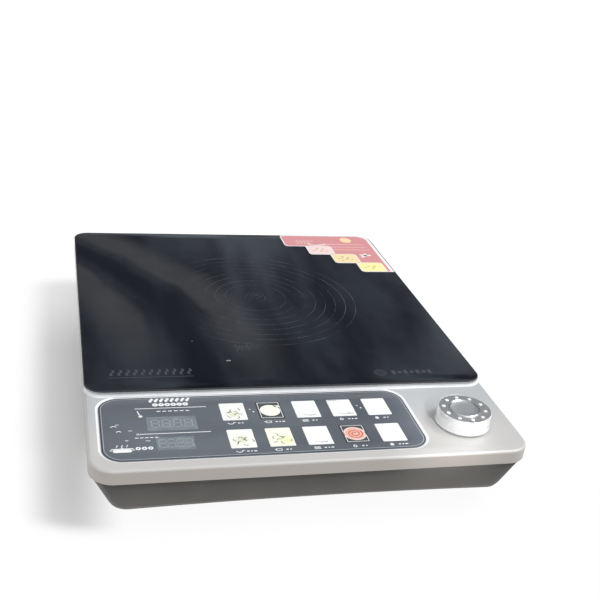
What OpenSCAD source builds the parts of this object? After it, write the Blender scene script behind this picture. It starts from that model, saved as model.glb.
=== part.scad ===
/* [Body] */
// Width of the body and of the glass, left to right
body_w = 280; // [270:1:340]
// Depth of the body, front to back
body_d = 362; // [355:1:440]
// Height of the deck above the surface that the feet stand on
deck_h = 46; // [46:0.5:58]
// Corner radius of the top cover, seen from above
corner_r = 15; // [12:0.5:22]
// Height of the upright band around the top cover
band_h = 9.7; // [8:0.1:11]
// Radius of the rounded edge between the deck and the band
edge_r = 2; // [1:0.1:2.4]
// Wall thickness of the top cover
cover_t = 2.2; // [1.8:0.1:2.8]
// Wall thickness of the base shell
base_t = 2.4; // [2:0.1:3]
// How far the base shell slopes in on the left and on the right
side_taper = 12.8; // [9:0.1:15]
// How far the base shell slopes in at the front and at the back
front_taper = 7; // [4:0.1:9]
// Height of the lower edge of the base shell above the surface
skirt_h = 13; // [12:0.5:15]
// How far that lower edge rises in the middle of each side
skirt_arch = 2; // [0:0.1:3]
// Height of the flat underside above the surface
floor_h = 10; // [8:0.5:11]

/* [Glass] */
// Depth of the glass, front to back
glass_d = 280; // [240:1:284]
// Thickness of the glass
glass_t = 4; // [3:0.1:6]
// Corner radius of the glass, seen from above
glass_r = 12; // [8:0.5:20]
// Width of the bevel around the top edge of the glass
glass_bevel = 0.7; // [0.3:0.1:1.5]
// How far the bead of sealant stands in front of the glass
bead_w = 1.5; // [0.5:0.1:2]

/* [Control panel] */
// Width of the panel film
panel_w = 205; // [200:1:208]
// Distance from the left side of the body to the film
panel_left = 8; // [6:0.5:12]
// Distance from the front of the body to the film
panel_front = 9.8; // [8:0.1:12]
// Gap between the film and the glass
panel_gap = 2.4; // [1.8:0.1:5]
// Corner radius of the film
panel_r = 13; // [8:0.5:18]
// Depth of the recess that the film lies in
panel_depth = 0.8; // [0.6:0.1:1]
// Width of the sloping edge of that recess
panel_slope = 1.5; // [1:0.1:2]
// Thickness of the film
film_t = 0.5; // [0.3:0.1:0.6]

/* [Keys] */
// Width of a key
key_w = 16.4; // [12:0.1:18]
// Depth of a key, front to back
key_d = 20.2; // [14:0.1:22]
// Distance between the middles of two neighbouring keys in a row
key_pitch = 24.5; // [20:0.1:25]
// Distance from the left edge of the film to the middle of the first key
key_first = 85.3; // [75:0.1:88]
// Distance from the front edge of the film to the middle of the front row
key_front = 18.2; // [16:0.1:20]
// Distance from the front edge of the film to the middle of the back row
key_back = 49.3; // [45:0.1:52]
// How far a key stands above the film
key_rise = 0.2; // [0.1:0.1:0.5]
// How far a key travels down
key_travel = 0.3; // [0.2:0.05:0.5]
// Gap all round a key
key_gap = 0.15; // [0.1:0.05:0.3]

/* [Displays] */
// Width of the upper display window
upper_w = 31.6; // [26:0.1:36]
// Depth of the upper display window
upper_d = 16; // [12:0.1:18]
// Width of the lower display window
lower_w = 23.7; // [20:0.1:30]
// Depth of the lower display window
lower_d = 13.9; // [11:0.1:16]
// Distance from the left edge of the film to the middle of both windows
window_x = 44.6; // [40:0.1:50]
// Distance from the front edge of the film to the middle of the upper window
upper_y = 38.7; // [36:0.1:42]
// Distance from the front edge of the film to the middle of the lower window
lower_y = 16.7; // [14:0.1:18]

/* [Knob] */
// Radius of the knob
knob_r = 18; // [15:0.5:19]
// Height of the knob from its lower rim to its cap
knob_h = 10.7; // [10:0.1:16]
// Gap between the knob and the deck
knob_gap = 1; // [0.5:0.1:2]
// Distance from the right side of the body to the middle of the knob
knob_right = 36; // [32:0.5:42]
// Distance from the front of the body to the middle of the knob
knob_front = 35; // [30:0.5:42]
// Radius of the cap in the middle of the knob
cap_r = 10.6; // [8:0.1:12]
// Radius of the circle that the dots lie on
dot_ring_r = 13.9; // [13.4:0.1:15]
// Radius of one dot
dot_r = 1.3; // [0.8:0.1:1.5]
// Number of dots
dot_count = 10; // [6:1:16]
// Radius of the encoder shaft
shaft_r = 3; // [2.5:0.5:3]

/* [Heater] */
// Outer radius of the heater dish
dish_r = 90; // [80:1:95]
// Height of the heater dish
dish_h = 24; // [20:0.5:25]
// Sheet thickness of the heater dish
dish_t = 0.8; // [0.6:0.1:1]
// Radius of the heated circle inside the insulating wall
hot_r = 78; // [70:1:80]
// Thickness of the insulation under the ribbons
insulation_t = 9; // [7:0.5:10]
// Height of a heating ribbon
ribbon_h = 5; // [4:0.5:6]
// Thickness of a heating ribbon
ribbon_t = 0.5; // [0.4:0.1:0.8]
// Radius of the limiter rod
rod_r = 2.5; // [2:0.1:3]

/* [Fan] */
// Width of the square fan frame
fan_w = 80; // [70:1:84]
// Thickness of the fan
fan_t = 15; // [12:1:16]
// Number of blades
blade_count = 7; // [5:1:11]

/* [Feet and cord entry] */
// Radius of a foot
foot_r = 11; // [8:0.5:13]
// Distance from the middle of a foot to the side of the body
foot_side = 40; // [34:1:50]
// Distance from the middle of a foot to the front or back of the body
foot_end = 36; // [34:1:50]
// Radius of the hole that the mains cord passes through
cord_hole_r = 3.8; // [3:0.1:4.5]
// Distance from the right side of the body to the cord entry
cord_side = 46; // [36:1:70]

/* [Hidden] */
$fn = 64;
eps = 0.01;

// Heights
parting_z = deck_h - band_h;
under_z = deck_h - cover_t;
floor_z = floor_h + base_t;
panel_z = deck_h - panel_depth;
film_z = panel_z + film_t;
glass_top = deck_h + glass_t;

// Base shell outline
lip = 1;
base_corner_r = 11;
floor_inset = 7;
skirt_turn = 3;
tongue_h = 2.5;
tongue_t = 1.4;
tongue_gap = 0.2;
cover_in_w = body_w - 2 * cover_t;
cover_in_d = body_d - 2 * cover_t;
cover_in_r = corner_r - cover_t;

// Glass and sealant
glass_y = body_d / 2 - glass_d / 2;
glass_front = body_d / 2 - glass_d;
seal_t = 1.2;
seal_in = 8;
seal_w = 7;
bead_h = 1.6;

// Corner label: a stepped film stuck to the rear right corner of the glass
label_t = 0.15;
label_w = 88;
label_steps = 4;
label_margin = 1.4;
label_step_w = 19.2;
label_step_d = 19.7;
label_first_d = 26.5;

// Panel places
panel_d = body_d - glass_d - panel_front - panel_gap;
panel_x0 = -body_w / 2 + panel_left;
panel_y0 = -body_d / 2 + panel_front;
panel_x = panel_x0 + panel_w / 2;
panel_y = panel_y0 + panel_d / 2;
film_gap = 0.3;
window_px = panel_x0 + window_x;
upper_py = panel_y0 + upper_y;
lower_py = panel_y0 + lower_y;
window_gap = 0.1;

// Keys
key_r = 0.8;
key_t = 1.7;
plunger_r = 1.75;
plunger_gap = 0.07;
tact_w = 6.2;
tact_h = 3.6;
tact_floor = 0.6;

// Knob and encoder
knob_x = body_w / 2 - knob_right;
knob_y = -body_d / 2 + knob_front;
knob_z = deck_h + knob_gap;
knob_flare = 0.5;
knob_wall = 2.5;
knob_edge = 1.2;
knob_seat = knob_h - 2.1;
face_t = 1.3;
face_gap = 0.1;
hub_r = 6;
hub_gap = 0.8;
cap_bevel = 0.9;
dot_h = 0.4;
encoder_w = 12.5;
encoder_d = 13.5;
encoder_h = 6.5;
bushing_r = 3.7;
bushing_rise = 3;
shaft_gap = 0.05;
nut_af = 10;
nut_h = 2;

// Control board
board_t = 1.6;
board_top = under_z - encoder_h;
board_bottom = board_top - board_t;
plunger_bottom = board_top + tact_floor + key_travel + 0.3;
board_x0 = window_px - upper_w / 2 - 4;
board_x1 = knob_x + 9;
board_y0 = -body_d / 2 + 14;
board_y1 = glass_front - 10;
board_inset = 4;
display_h = 6.1;
display_rim = 0.8;

// Screws
screw_r = 1.25;
pilot_r = 1.3;
clear_r = 1.7;
head_r = 2.8;
head_h = 2;
case_screw_h = 25;

// Case posts, in the four corners and halfway along the sides
post_r = 4;
boss_r = 4.5;
post_side = 22;
post_end = 17;
post_split = parting_z - 6;
head_well = 3.4;
board_post_r = 3;
fan_post_r = 4;
post_places = [for (x = [-1, 1], y = [-1, 0, 1]) [x * (body_w / 2 - post_side), y * (body_d / 2 - post_end)]];

// Feet and cord entry
stem_r = 3;
stem_h = 5;
gland_x = body_w / 2 - cord_side;
gland_z = (skirt_h + parting_z) / 2;
gland_r = 6;
gland_flange_r = 8;
gland_flange_t = 1.5;
gland_l = 15;
gland_y = body_d / 2 - 0.1 - gland_flange_t;
collar_r = 9.5;

// Air slots
inlet_pitch = 5.6;
inlet_w = 3.4;
outlet_x = -12;
outlet_pitch = 8;
outlet_w = 4;

// Heater
dish_top = deck_h - 1.4;
dish_z = dish_top - dish_h;
heater_hole_r = dish_r + 4;
hot_z = dish_z + dish_t + insulation_t;
rod_z = deck_h - 7;
rod_gap = 0.1;
rod_l = dish_r + 92;
limiter_w = 20;
limiter_d = 24;
limiter_h = 13;
terminal_w = 30;
terminal_d = 10;
terminal_h = 12;
terminal_x = 0;
terminal_bore_r = 1.6;
spring_x = 50;
bracket_w = 30;
bracket_t = 1.2;
bracket_z = dish_z - 4;
bracket_post_r = 5;
bracket_reach = dish_r + 15;
spring_t = 0.8;
spring_w = 14;
spring_half = 22;
shield_t = 0.6;
shield_z = floor_z + 1.2;
shield_r = dish_r - 2;
shield_hub_r = 22;

// Fan
fan_x = -body_w / 2 + 62;
fan_y = glass_front - 1;
fan_pad_h = 2;
fan_z = floor_z + fan_pad_h;
fan_bore_r = fan_w / 2 - 2;
fan_hole = fan_w / 2 - 4.25;
fan_tip_r = fan_bore_r - 1;
fan_hub_r = 16;
fan_plate_t = 1.5;
fan_tube_r = 3.2;
fan_shaft_r = 1.5;
fan_pin_gap = 0.05;

// Power board
power_x0 = fan_x + fan_w / 2 + 6;
power_x1 = body_w / 2 - 32;
power_y0 = glass_front - 7;
power_y1 = glass_front + 37;
power_z = floor_z + 5.6;
power_top = power_z + board_t;
power_inset = 4;

// A rounded rectangle, centred
module rrect(w, d, r) {
    square([w - 2 * r, d], center = true);
    square([w, d - 2 * r], center = true);
    for (x = [-1, 1], y = [-1, 1])
        translate([x * (w / 2 - r), y * (d / 2 - r)]) circle(r = r);
}

// The same outline as points, anticlockwise, with m more points along each straight side
function corner_points(cx, cy, r, a, n) =
    [for (i = [0:n]) [cx + r * cos(a + 90 * i / n), cy + r * sin(a + 90 * i / n)]];
function side_points(p, q, m) = [for (i = [1:1:m]) p + (q - p) * i / (m + 1)];
function outline(w, d, r, n, m) =
    let (
        x = w / 2 - r,
        y = d / 2 - r,
        a = corner_points(x, -y, r, -90, n),
        b = corner_points(x, y, r, 0, n),
        c = corner_points(-x, y, r, 90, n),
        e = corner_points(-x, -y, r, 180, n)
    )
    concat(
        a, side_points(a[n], b[0], m),
        b, side_points(b[n], c[0], m),
        c, side_points(c[n], e[0], m),
        e, side_points(e[n], a[0], m)
    );

// A solid through rounded outlines, each one [height, width, depth, corner radius, arch].
// The arch lifts the middle of every side and leaves the corners where they are. The first and last
// outlines are flat, and each is closed by a fan of triangles around its middle.
module loft(levels, n = 8, m = 0) {
    loops = [for (l = levels) [
        for (p = outline(l[1], l[2], l[3], n, m))
            [p.x, p.y, l[0] + l[4] * (1 - pow(2 * p.x / l[1], 2) * pow(2 * p.y / l[2], 2))]
    ]];
    count = len(loops[0]);
    last = len(levels) - 1;
    low = (last + 1) * count;
    points = concat([for (loop = loops) each loop], [[0, 0, levels[0][0]], [0, 0, levels[last][0]]]);
    caps = [for (i = [0:count - 1])
        let (j = (i + 1) % count)
        each [[i, j, low], [last * count + j, last * count + i, low + 1]]
    ];
    sides = [for (k = [0:last - 1], i = [0:count - 1])
        let (a = k * count + i, b = k * count + (i + 1) % count)
        each [[a, a + count, b + count], [a, b + count, b]]
    ];
    polyhedron(points = points, faces = concat(caps, sides));
}

// A round tube swept along a list of points
function unit(v) = v / norm(v);
function heading(p, i) = unit(p[min(i + 1, len(p) - 1)] - p[max(i - 1, 0)]);
module wire(path, r, sides = 8) {
    guide = [0.31, 0.22, 0.93];
    last = len(path) - 1;
    rings = [for (i = [0:last])
        let (t = heading(path, i), u = unit(cross(t, guide)), v = cross(t, u))
        each [for (k = [0:sides - 1]) path[i] + r * (cos(360 * k / sides) * u + sin(360 * k / sides) * v)]
    ];
    start = [for (k = [sides - 1:-1:0]) k];
    end = [for (k = [0:sides - 1]) last * sides + k];
    walls = [for (i = [0:last - 1], k = [0:sides - 1])
        let (a = i * sides + k, b = i * sides + (k + 1) % sides)
        each [[a, b, b + sides], [a, b + sides, a + sides]]
    ];
    polyhedron(points = rings, faces = [for (f = concat([start, end], walls)) [for (q = [len(f) - 1:-1:0]) f[q]]]);
}

// A pan-head screw that points along +Z, with its head below the origin
module screw(length, shank = screw_r, head = head_r, head_height = head_h) {
    translate([0, 0, -head_height]) cylinder(r = head, h = head_height);
    translate([0, 0, -eps]) cylinder(r = shank, h = length + eps);
}

module at_glass() {
    translate([0, glass_y, 0]) children();
}

module at_knob(z = 0) {
    translate([knob_x, knob_y, z]) children();
}

// ---- Glass ----

module glass_plate() {
    color([0.09, 0.10, 0.12])
    at_glass() loft([
        [deck_h, body_w - 0.6, glass_d - 0.6, glass_r - 0.3, 0],
        [deck_h + 0.3, body_w, glass_d, glass_r, 0],
        [glass_top - glass_bevel * 0.6, body_w, glass_d, glass_r, 0],
        [glass_top, body_w - 2 * glass_bevel, glass_d - 2 * glass_bevel, glass_r - glass_bevel, 0]
    ], 12);
}

// A flat bead under the rim of the glass, and a fillet of sealant along its front edge
module glass_seal() {
    color([0.86, 0.87, 0.88]) {
        translate([0, glass_y, deck_h - seal_t]) linear_extrude(seal_t) difference() {
            rrect(body_w - 2 * seal_in, glass_d - 2 * seal_in, glass_r);
            rrect(body_w - 2 * seal_in - 2 * seal_w, glass_d - 2 * seal_in - 2 * seal_w, glass_r - 2);
        }
        difference() {
            intersection() {
                at_glass() loft([
                    [deck_h, body_w + 2 * bead_w, glass_d + 2 * bead_w, glass_r + bead_w, 0],
                    [deck_h + bead_h * 0.3, body_w + bead_w, glass_d + bead_w, glass_r + bead_w / 2, 0],
                    [deck_h + bead_h, body_w + 0.3, glass_d + 0.3, glass_r + 0.15, 0]
                ], 12);
                translate([-body_w / 2 + edge_r, glass_front - 2 * bead_w, deck_h])
                    cube([body_w - 2 * edge_r, glass_r + bead_w, bead_h]);
            }
            translate([0, glass_y, deck_h - eps]) linear_extrude(bead_h + 2 * eps) rrect(body_w, glass_d, glass_r);
        }
    }
}

// Four steps that come down from the back edge, with the corner of the glass cut off its far end
module corner_label() {
    x1 = body_w / 2 - label_margin;
    y1 = body_d / 2 - label_margin;
    color([0.84, 0.52, 0.52])
    translate([0, 0, glass_top]) linear_extrude(label_t) intersection() {
        union() {
            for (i = [0:label_steps - 1]) {
                step_x = x1 - label_w + i * label_step_w;
                step_d = label_first_d + i * label_step_d;
                translate([step_x, y1 - step_d]) square([x1 - step_x, step_d]);
            }
        }
        translate([0, glass_y]) rrect(body_w - 2 * label_margin, glass_d - 2 * label_margin, glass_r - label_margin);
    }
}

// ---- Top cover and panel ----

module key_places() {
    for (row = [0, 1], col = [0:4]) translate([key_px(col), key_py(row), 0]) children();
}
function key_px(col) = panel_x0 + key_first + col * key_pitch;
function key_py(row) = panel_y0 + (row == 0 ? key_back : key_front);

module board_places() {
    for (x = [board_x0 + board_inset, board_x1 - board_inset], y = [board_y0 + board_inset, board_y1 - board_inset])
        translate([x, y, 0]) children();
}

module top_cover() {
    color([0.80, 0.80, 0.78])
    difference() {
        union() {
            difference() {
                loft(concat(
                    [[parting_z, body_w, body_d, corner_r, 0]],
                    [for (a = [0:15:90]) let (q = edge_r * (1 - cos(a)))
                        [deck_h - edge_r + edge_r * sin(a), body_w - 2 * q, body_d - 2 * q, corner_r - q, 0]]
                ), 18);
                translate([0, 0, parting_z - eps]) linear_extrude(under_z - parting_z + eps)
                    rrect(cover_in_w, cover_in_d, cover_in_r);
            }
            for (p = post_places) translate([p.x, p.y, post_split]) cylinder(r = post_r, h = under_z - post_split + eps);
            board_places() translate([0, 0, board_top]) cylinder(r = board_post_r, h = under_z - board_top + eps);
        }
        // Recess for the film, with a sloping edge
        translate([panel_x, panel_y, 0]) loft([
            [panel_z, panel_w + 2 * film_gap, panel_d + 2 * film_gap, panel_r + film_gap, 0],
            [deck_h, panel_w + 2 * panel_slope, panel_d + 2 * panel_slope, panel_r + panel_slope, 0],
            [deck_h + 1, panel_w + 2 * panel_slope, panel_d + 2 * panel_slope, panel_r + panel_slope, 0]
        ], 8);
        // Openings for the keys and the displays
        key_places() translate([0, 0, under_z - 1]) linear_extrude(cover_t + 1)
            rrect(key_w + 4 * key_gap, key_d + 4 * key_gap, key_r + 2 * key_gap);
        translate([window_px, upper_py, under_z - 1]) linear_extrude(cover_t + 1)
            square([upper_w - 1, upper_d - 1], center = true);
        translate([window_px, lower_py, under_z - 1]) linear_extrude(cover_t + 1)
            square([lower_w - 1, lower_d - 1], center = true);
        // Hole for the encoder
        at_knob(under_z - 1) cylinder(r = bushing_r + 0.1, h = cover_t + 2);
        // Opening under the glass for the heater
        translate([0, glass_y, under_z - 1]) cylinder(r = heater_hole_r, h = cover_t + 2);
        // Groove for the flat bead of sealant
        translate([0, glass_y, deck_h - seal_t]) linear_extrude(seal_t + 1) difference() {
            rrect(body_w - 2 * seal_in, glass_d - 2 * seal_in, glass_r);
            rrect(body_w - 2 * seal_in - 2 * seal_w, glass_d - 2 * seal_in - 2 * seal_w, glass_r - 2);
        }
        // Pilot holes
        for (p = post_places) translate([p.x, p.y, post_split - eps]) cylinder(r = pilot_r, h = case_screw_h - 17);
        board_places() translate([0, 0, board_top - eps]) cylinder(r = pilot_r, h = 5.2);
    }
}

module panel_film() {
    color([0.40, 0.44, 0.48])
    translate([0, 0, panel_z]) linear_extrude(film_t) difference() {
        translate([panel_x, panel_y]) rrect(panel_w, panel_d, panel_r);
        key_places() rrect(key_w + 2 * key_gap, key_d + 2 * key_gap, key_r + key_gap);
        translate([window_px, upper_py]) square([upper_w + 2 * window_gap, upper_d + 2 * window_gap], center = true);
        translate([window_px, lower_py]) square([lower_w + 2 * window_gap, lower_d + 2 * window_gap], center = true);
    }
}

// A key is a flat cap with a plunger that runs in its switch
module key(col, row) {
    top = film_z + key_rise;
    translate([key_px(col), key_py(row), 0]) {
        translate([0, 0, top - key_t]) linear_extrude(key_t) rrect(key_w, key_d, key_r);
        translate([0, 0, plunger_bottom]) cylinder(r = plunger_r, h = top - key_t - plunger_bottom + eps);
    }
}

module fry_key() { color([0.93, 0.93, 0.86]) key(0, 0); }
module hot_pot_key() { color([0.95, 0.96, 0.90]) key(1, 0); }
module porridge_key() { color([0.96, 0.97, 0.97]) key(2, 0); }
module boil_key() { color([0.96, 0.97, 0.95]) key(3, 0); }
module lock_key() { color([0.97, 0.97, 0.97]) key(4, 0); }
module barbecue_key() { color([0.93, 0.92, 0.86]) key(0, 1); }
module soup_key() { color([0.93, 0.94, 0.80]) key(1, 1); }
module steam_key() { color([0.96, 0.97, 0.97]) key(2, 1); }
module power_key() { color([0.85, 0.55, 0.50]) key(3, 1); }
module timer_key() { color([0.97, 0.97, 0.97]) key(4, 1); }

// Each window is a tinted plate that lies flush in the film, on the edge of its opening
module window_plate(w, d, y) {
    color([0.48, 0.53, 0.56])
    translate([window_px, y, film_z - film_t]) linear_extrude(film_t) square([w, d], center = true);
}

module upper_window() { window_plate(upper_w, upper_d, upper_py); }
module lower_window() { window_plate(lower_w, lower_d, lower_py); }

// ---- Knob ----

module knob_skirt() {
    color([0.86, 0.86, 0.87])
    at_knob(knob_z) difference() {
        union() {
            cylinder(r1 = knob_r + knob_flare, r2 = knob_r, h = 1.5);
            cylinder(r = knob_r, h = knob_h - 0.5 - knob_edge);
            cylinder(r = knob_r - knob_edge, h = knob_h - 0.5);
            translate([0, 0, knob_h - 0.5 - knob_edge])
                rotate_extrude() translate([knob_r - knob_edge, 0]) circle(r = knob_edge);
        }
        difference() {
            translate([0, 0, -1]) cylinder(r = knob_r - knob_wall, h = knob_seat - 1.2 + 1);
            translate([0, 0, bushing_rise - knob_gap + hub_gap]) cylinder(r = hub_r, h = knob_h);
        }
        translate([0, 0, knob_seat]) cylinder(r = knob_r - knob_edge, h = knob_h);
        translate([0, 0, -1]) cylinder(r = shaft_r, h = knob_h + 1);
    }
}

module knob_face() {
    color([0.66, 0.66, 0.66])
    at_knob(knob_z + knob_seat) difference() {
        cylinder(r = knob_r - knob_edge - face_gap, h = face_t);
        translate([0, 0, -1]) cylinder(r = cap_r + face_gap, h = face_t + 2);
    }
}

module knob_cap() {
    color([0.74, 0.74, 0.74])
    at_knob(knob_z + knob_seat) {
        cylinder(r = cap_r, h = knob_h - knob_seat - cap_bevel);
        translate([0, 0, knob_h - knob_seat - cap_bevel]) cylinder(r1 = cap_r, r2 = cap_r - cap_bevel, h = cap_bevel);
    }
}

module knob_dots() {
    color([0.95, 0.95, 0.95])
    for (i = [0:dot_count - 1])
        at_knob(knob_z + knob_seat + face_t) rotate([0, 0, 90 + i * 360 / dot_count]) translate([dot_ring_r, 0, 0])
            cylinder(r1 = dot_r, r2 = dot_r - 0.3, h = dot_h);
}

module encoder_shaft() {
    color([0.75, 0.75, 0.76])
    at_knob(board_top + 1.5) cylinder(r = shaft_r, h = knob_z + knob_seat - board_top - 1.5);
}

module encoder_body() {
    color([0.55, 0.56, 0.58])
    difference() {
        union() {
            at_knob(board_top) translate([-encoder_w / 2, -encoder_d / 2, 0]) cube([encoder_w, encoder_d, encoder_h]);
            at_knob(under_z - eps) cylinder(r = bushing_r, h = cover_t + bushing_rise + eps);
        }
        at_knob(board_top + 1) cylinder(r = shaft_r + shaft_gap, h = knob_h + encoder_h + cover_t);
    }
}

module encoder_nut() {
    color([0.78, 0.76, 0.70])
    at_knob(deck_h) difference() {
        cylinder(r = nut_af / sqrt(3), h = nut_h, $fn = 6);
        translate([0, 0, -1]) cylinder(r = bushing_r + 0.05, h = nut_h + 2);
    }
}

// ---- Control board ----

module control_board() {
    color([0.16, 0.42, 0.24])
    difference() {
        translate([board_x0, board_y0, board_bottom]) cube([board_x1 - board_x0, board_y1 - board_y0, board_t]);
        board_places() translate([0, 0, board_bottom - 1]) cylinder(r = clear_r, h = board_t + 2);
    }
}

module tact_switches() {
    color([0.20, 0.20, 0.22])
    key_places() difference() {
        translate([-tact_w / 2, -tact_w / 2, board_top]) cube([tact_w, tact_w, tact_h]);
        translate([0, 0, board_top + tact_floor]) cylinder(r = plunger_r + plunger_gap, h = tact_h);
    }
}

// A display is a block of moulded digits with a raised frame around its face
module display_block(w, d, y) {
    color([0.30, 0.31, 0.33])
    translate([window_px, y, board_top]) difference() {
        translate([-w / 2, -d / 2, 0]) cube([w, d, display_h]);
        translate([-w / 2 + display_rim, -d / 2 + display_rim, display_h - 0.4])
            cube([w - 2 * display_rim, d - 2 * display_rim, 1]);
    }
}

module upper_display() { display_block(upper_w - 2, upper_d - 2, upper_py); }
module lower_display() { display_block(lower_w - 2, lower_d - 2, lower_py); }

// A flat cable that rises from the power board, turns forward and ends under the control board
module ribbon_cable() {
    y_low = power_y0 + 6;
    y_high = board_y1 - 8;
    t = 1;
    bend = 4;
    color([0.85, 0.85, 0.82])
    translate([power_x0 + 14, 0, 0]) rotate([90, 0, 90]) linear_extrude(14) {
        translate([y_low - t / 2, power_top]) square([t, board_bottom - bend - power_top - t - 1]);
        translate([y_low + t / 2 - bend - t, board_bottom - bend - t - 1]) intersection() {
            difference() {
                circle(r = bend + t);
                circle(r = bend);
            }
            square([bend + t, bend + t]);
        }
        translate([y_high + t, board_bottom - t - 1]) square([y_low - bend - t / 2 - y_high - t, t]);
        translate([y_high, board_bottom - t - 1]) square([t, t + 1]);
    }
}

// ---- Base ----

module fan_places() {
    for (x = [-1, 1], y = [-1, 1]) translate([fan_x + x * fan_hole, fan_y + y * fan_hole, 0]) children();
}

module power_places() {
    for (x = [power_x0 + power_inset, power_x1 - power_inset], y = [power_y0 + power_inset, power_y1 - power_inset])
        translate([x, y, 0]) children();
}

module bracket_places() {
    for (x = [-1, 1]) translate([x * bracket_reach, glass_y, 0]) children();
}

module foot_places() {
    for (x = [-1, 1], y = [-1, 1]) translate([x * (body_w / 2 - foot_side), y * (body_d / 2 - foot_end), 0]) children();
}

// The hollow of the base, from its floor up to the parting line
module base_hollow() {
    loft([
        [floor_z, body_w - 2 * (side_taper + floor_inset), body_d - 2 * (front_taper + floor_inset), base_corner_r - 3, 0],
        [skirt_h + skirt_turn + base_t, body_w - 2 * (side_taper - skirt_turn / 2 + base_t),
            body_d - 2 * (front_taper - skirt_turn / 2 + base_t), base_corner_r, 0],
        [parting_z + eps, body_w - 2 * (lip + base_t), body_d - 2 * (lip + base_t), corner_r - base_t - lip, 0]
    ], 8);
}

module base_shell() {
    color([0.37, 0.36, 0.34])
    difference() {
        union() {
            difference() {
                loft([
                    [floor_h, body_w - 2 * (side_taper + floor_inset), body_d - 2 * (front_taper + floor_inset),
                        base_corner_r - 3, 0],
                    [skirt_h - 1.6, body_w - 2 * (side_taper + 3), body_d - 2 * (front_taper + 3),
                        base_corner_r - 1, skirt_arch],
                    [skirt_h, body_w - 2 * side_taper, body_d - 2 * front_taper, base_corner_r, skirt_arch],
                    [skirt_h + skirt_turn, body_w - 2 * (side_taper - skirt_turn / 2),
                        body_d - 2 * (front_taper - skirt_turn / 2), base_corner_r + 0.5, skirt_arch / 2],
                    [parting_z, body_w - 2 * lip, body_d - 2 * lip, corner_r - lip, 0]
                ], 14, 7);
                base_hollow();
            }
            // Tongue that locates the cover
            translate([0, 0, parting_z - 3]) linear_extrude(tongue_h + 3) difference() {
                rrect(cover_in_w - 2 * tongue_gap, cover_in_d - 2 * tongue_gap, cover_in_r - tongue_gap);
                rrect(cover_in_w - 2 * tongue_gap - 2 * tongue_t, cover_in_d - 2 * tongue_gap - 2 * tongue_t,
                    cover_in_r - tongue_gap - tongue_t);
            }
            // Screw bosses, posts and pads
            for (p = post_places) translate([p.x, p.y, floor_h + 1]) cylinder(r = boss_r, h = post_split - floor_h - 1);
            fan_places() translate([0, 0, floor_h + 1]) cylinder(r = fan_post_r, h = fan_z - floor_h - 1);
            power_places() translate([0, 0, floor_h + 1]) cylinder(r = board_post_r, h = power_z - floor_h - 1);
            bracket_places() translate([0, 0, floor_h + 1]) cylinder(r = bracket_post_r, h = bracket_z - floor_h - 1);
            // Rings that carry the heat shield
            at_glass() translate([0, 0, floor_h + 1]) difference() {
                cylinder(r = shield_r - 6, h = shield_z - floor_h - 1);
                translate([0, 0, -1]) cylinder(r = shield_r - 8, h = shield_z);
            }
            at_glass() translate([0, 0, floor_h + 1]) difference() {
                cylinder(r = shield_hub_r, h = shield_z - floor_h - 1);
                translate([0, 0, -1]) cylinder(r = shield_hub_r - 2, h = shield_z);
            }
            // Collar around the cord entry
            translate([gland_x, gland_y, gland_z]) rotate([90, 0, 0]) cylinder(r = collar_r, h = gland_l - 2);
        }
        // Screws come up through the bosses, with their heads in wells
        for (p = post_places) {
            translate([p.x, p.y, floor_h - 1]) cylinder(r = clear_r, h = deck_h);
            translate([p.x, p.y, floor_h - 1]) cylinder(r = head_well, h = head_h + 2);
        }
        fan_places() translate([0, 0, floor_h + 1.2]) cylinder(r = pilot_r, h = deck_h);
        power_places() translate([0, 0, floor_h + 1.2]) cylinder(r = pilot_r, h = deck_h);
        bracket_places() translate([0, 0, floor_h + 1.2]) cylinder(r = pilot_r, h = deck_h);
        foot_places() translate([0, 0, floor_h - 1]) cylinder(r = stem_r, h = base_t + 2);
        // Air comes in under the fan and leaves at the back
        intersection() {
            translate([fan_x, fan_y, floor_h - 1]) cylinder(r = fan_bore_r - 4, h = base_t + 2);
            for (i = [-6:6]) translate([fan_x + i * inlet_pitch - inlet_w / 2, fan_y - fan_w / 2, floor_h - 2])
                cube([inlet_w, fan_w, base_t + 4]);
        }
        for (i = [-8:8]) translate([outlet_x + i * outlet_pitch - outlet_w / 2, body_d / 2 - 14, skirt_h + 6])
            cube([outlet_w, 20, parting_z - skirt_h - 13]);
        translate([gland_x, body_d / 2 + 1, gland_z]) rotate([90, 0, 0]) cylinder(r = gland_r, h = gland_l + 6);
    }
}

// A soft foot with a stem that is pressed into the base
module foot(x, y) {
    color([0.13, 0.13, 0.13])
    translate([x * (body_w / 2 - foot_side), y * (body_d / 2 - foot_end), 0]) {
        cylinder(r1 = foot_r - 1, r2 = foot_r, h = 1);
        translate([0, 0, 1 - eps]) cylinder(r = foot_r, h = floor_h - 1 + eps);
        translate([0, 0, floor_h - eps]) cylinder(r = stem_r, h = stem_h);
    }
}

module front_left_foot() { foot(-1, -1); }
module front_right_foot() { foot(1, -1); }
module rear_left_foot() { foot(-1, 1); }
module rear_right_foot() { foot(1, 1); }

module case_screws() {
    color([0.62, 0.62, 0.64])
    for (p = post_places) translate([p.x, p.y, floor_h + head_h + 1]) screw(case_screw_h);
}

// The short screws that hold both boards and the heater bracket
module inner_screws() {
    color([0.70, 0.70, 0.72]) {
        board_places() translate([0, 0, board_bottom]) screw(6.5);
        power_places() translate([0, 0, power_top]) rotate([180, 0, 0]) screw(7);
        bracket_places() translate([0, 0, bracket_z + bracket_t]) rotate([180, 0, 0]) screw(6);
    }
}

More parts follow.
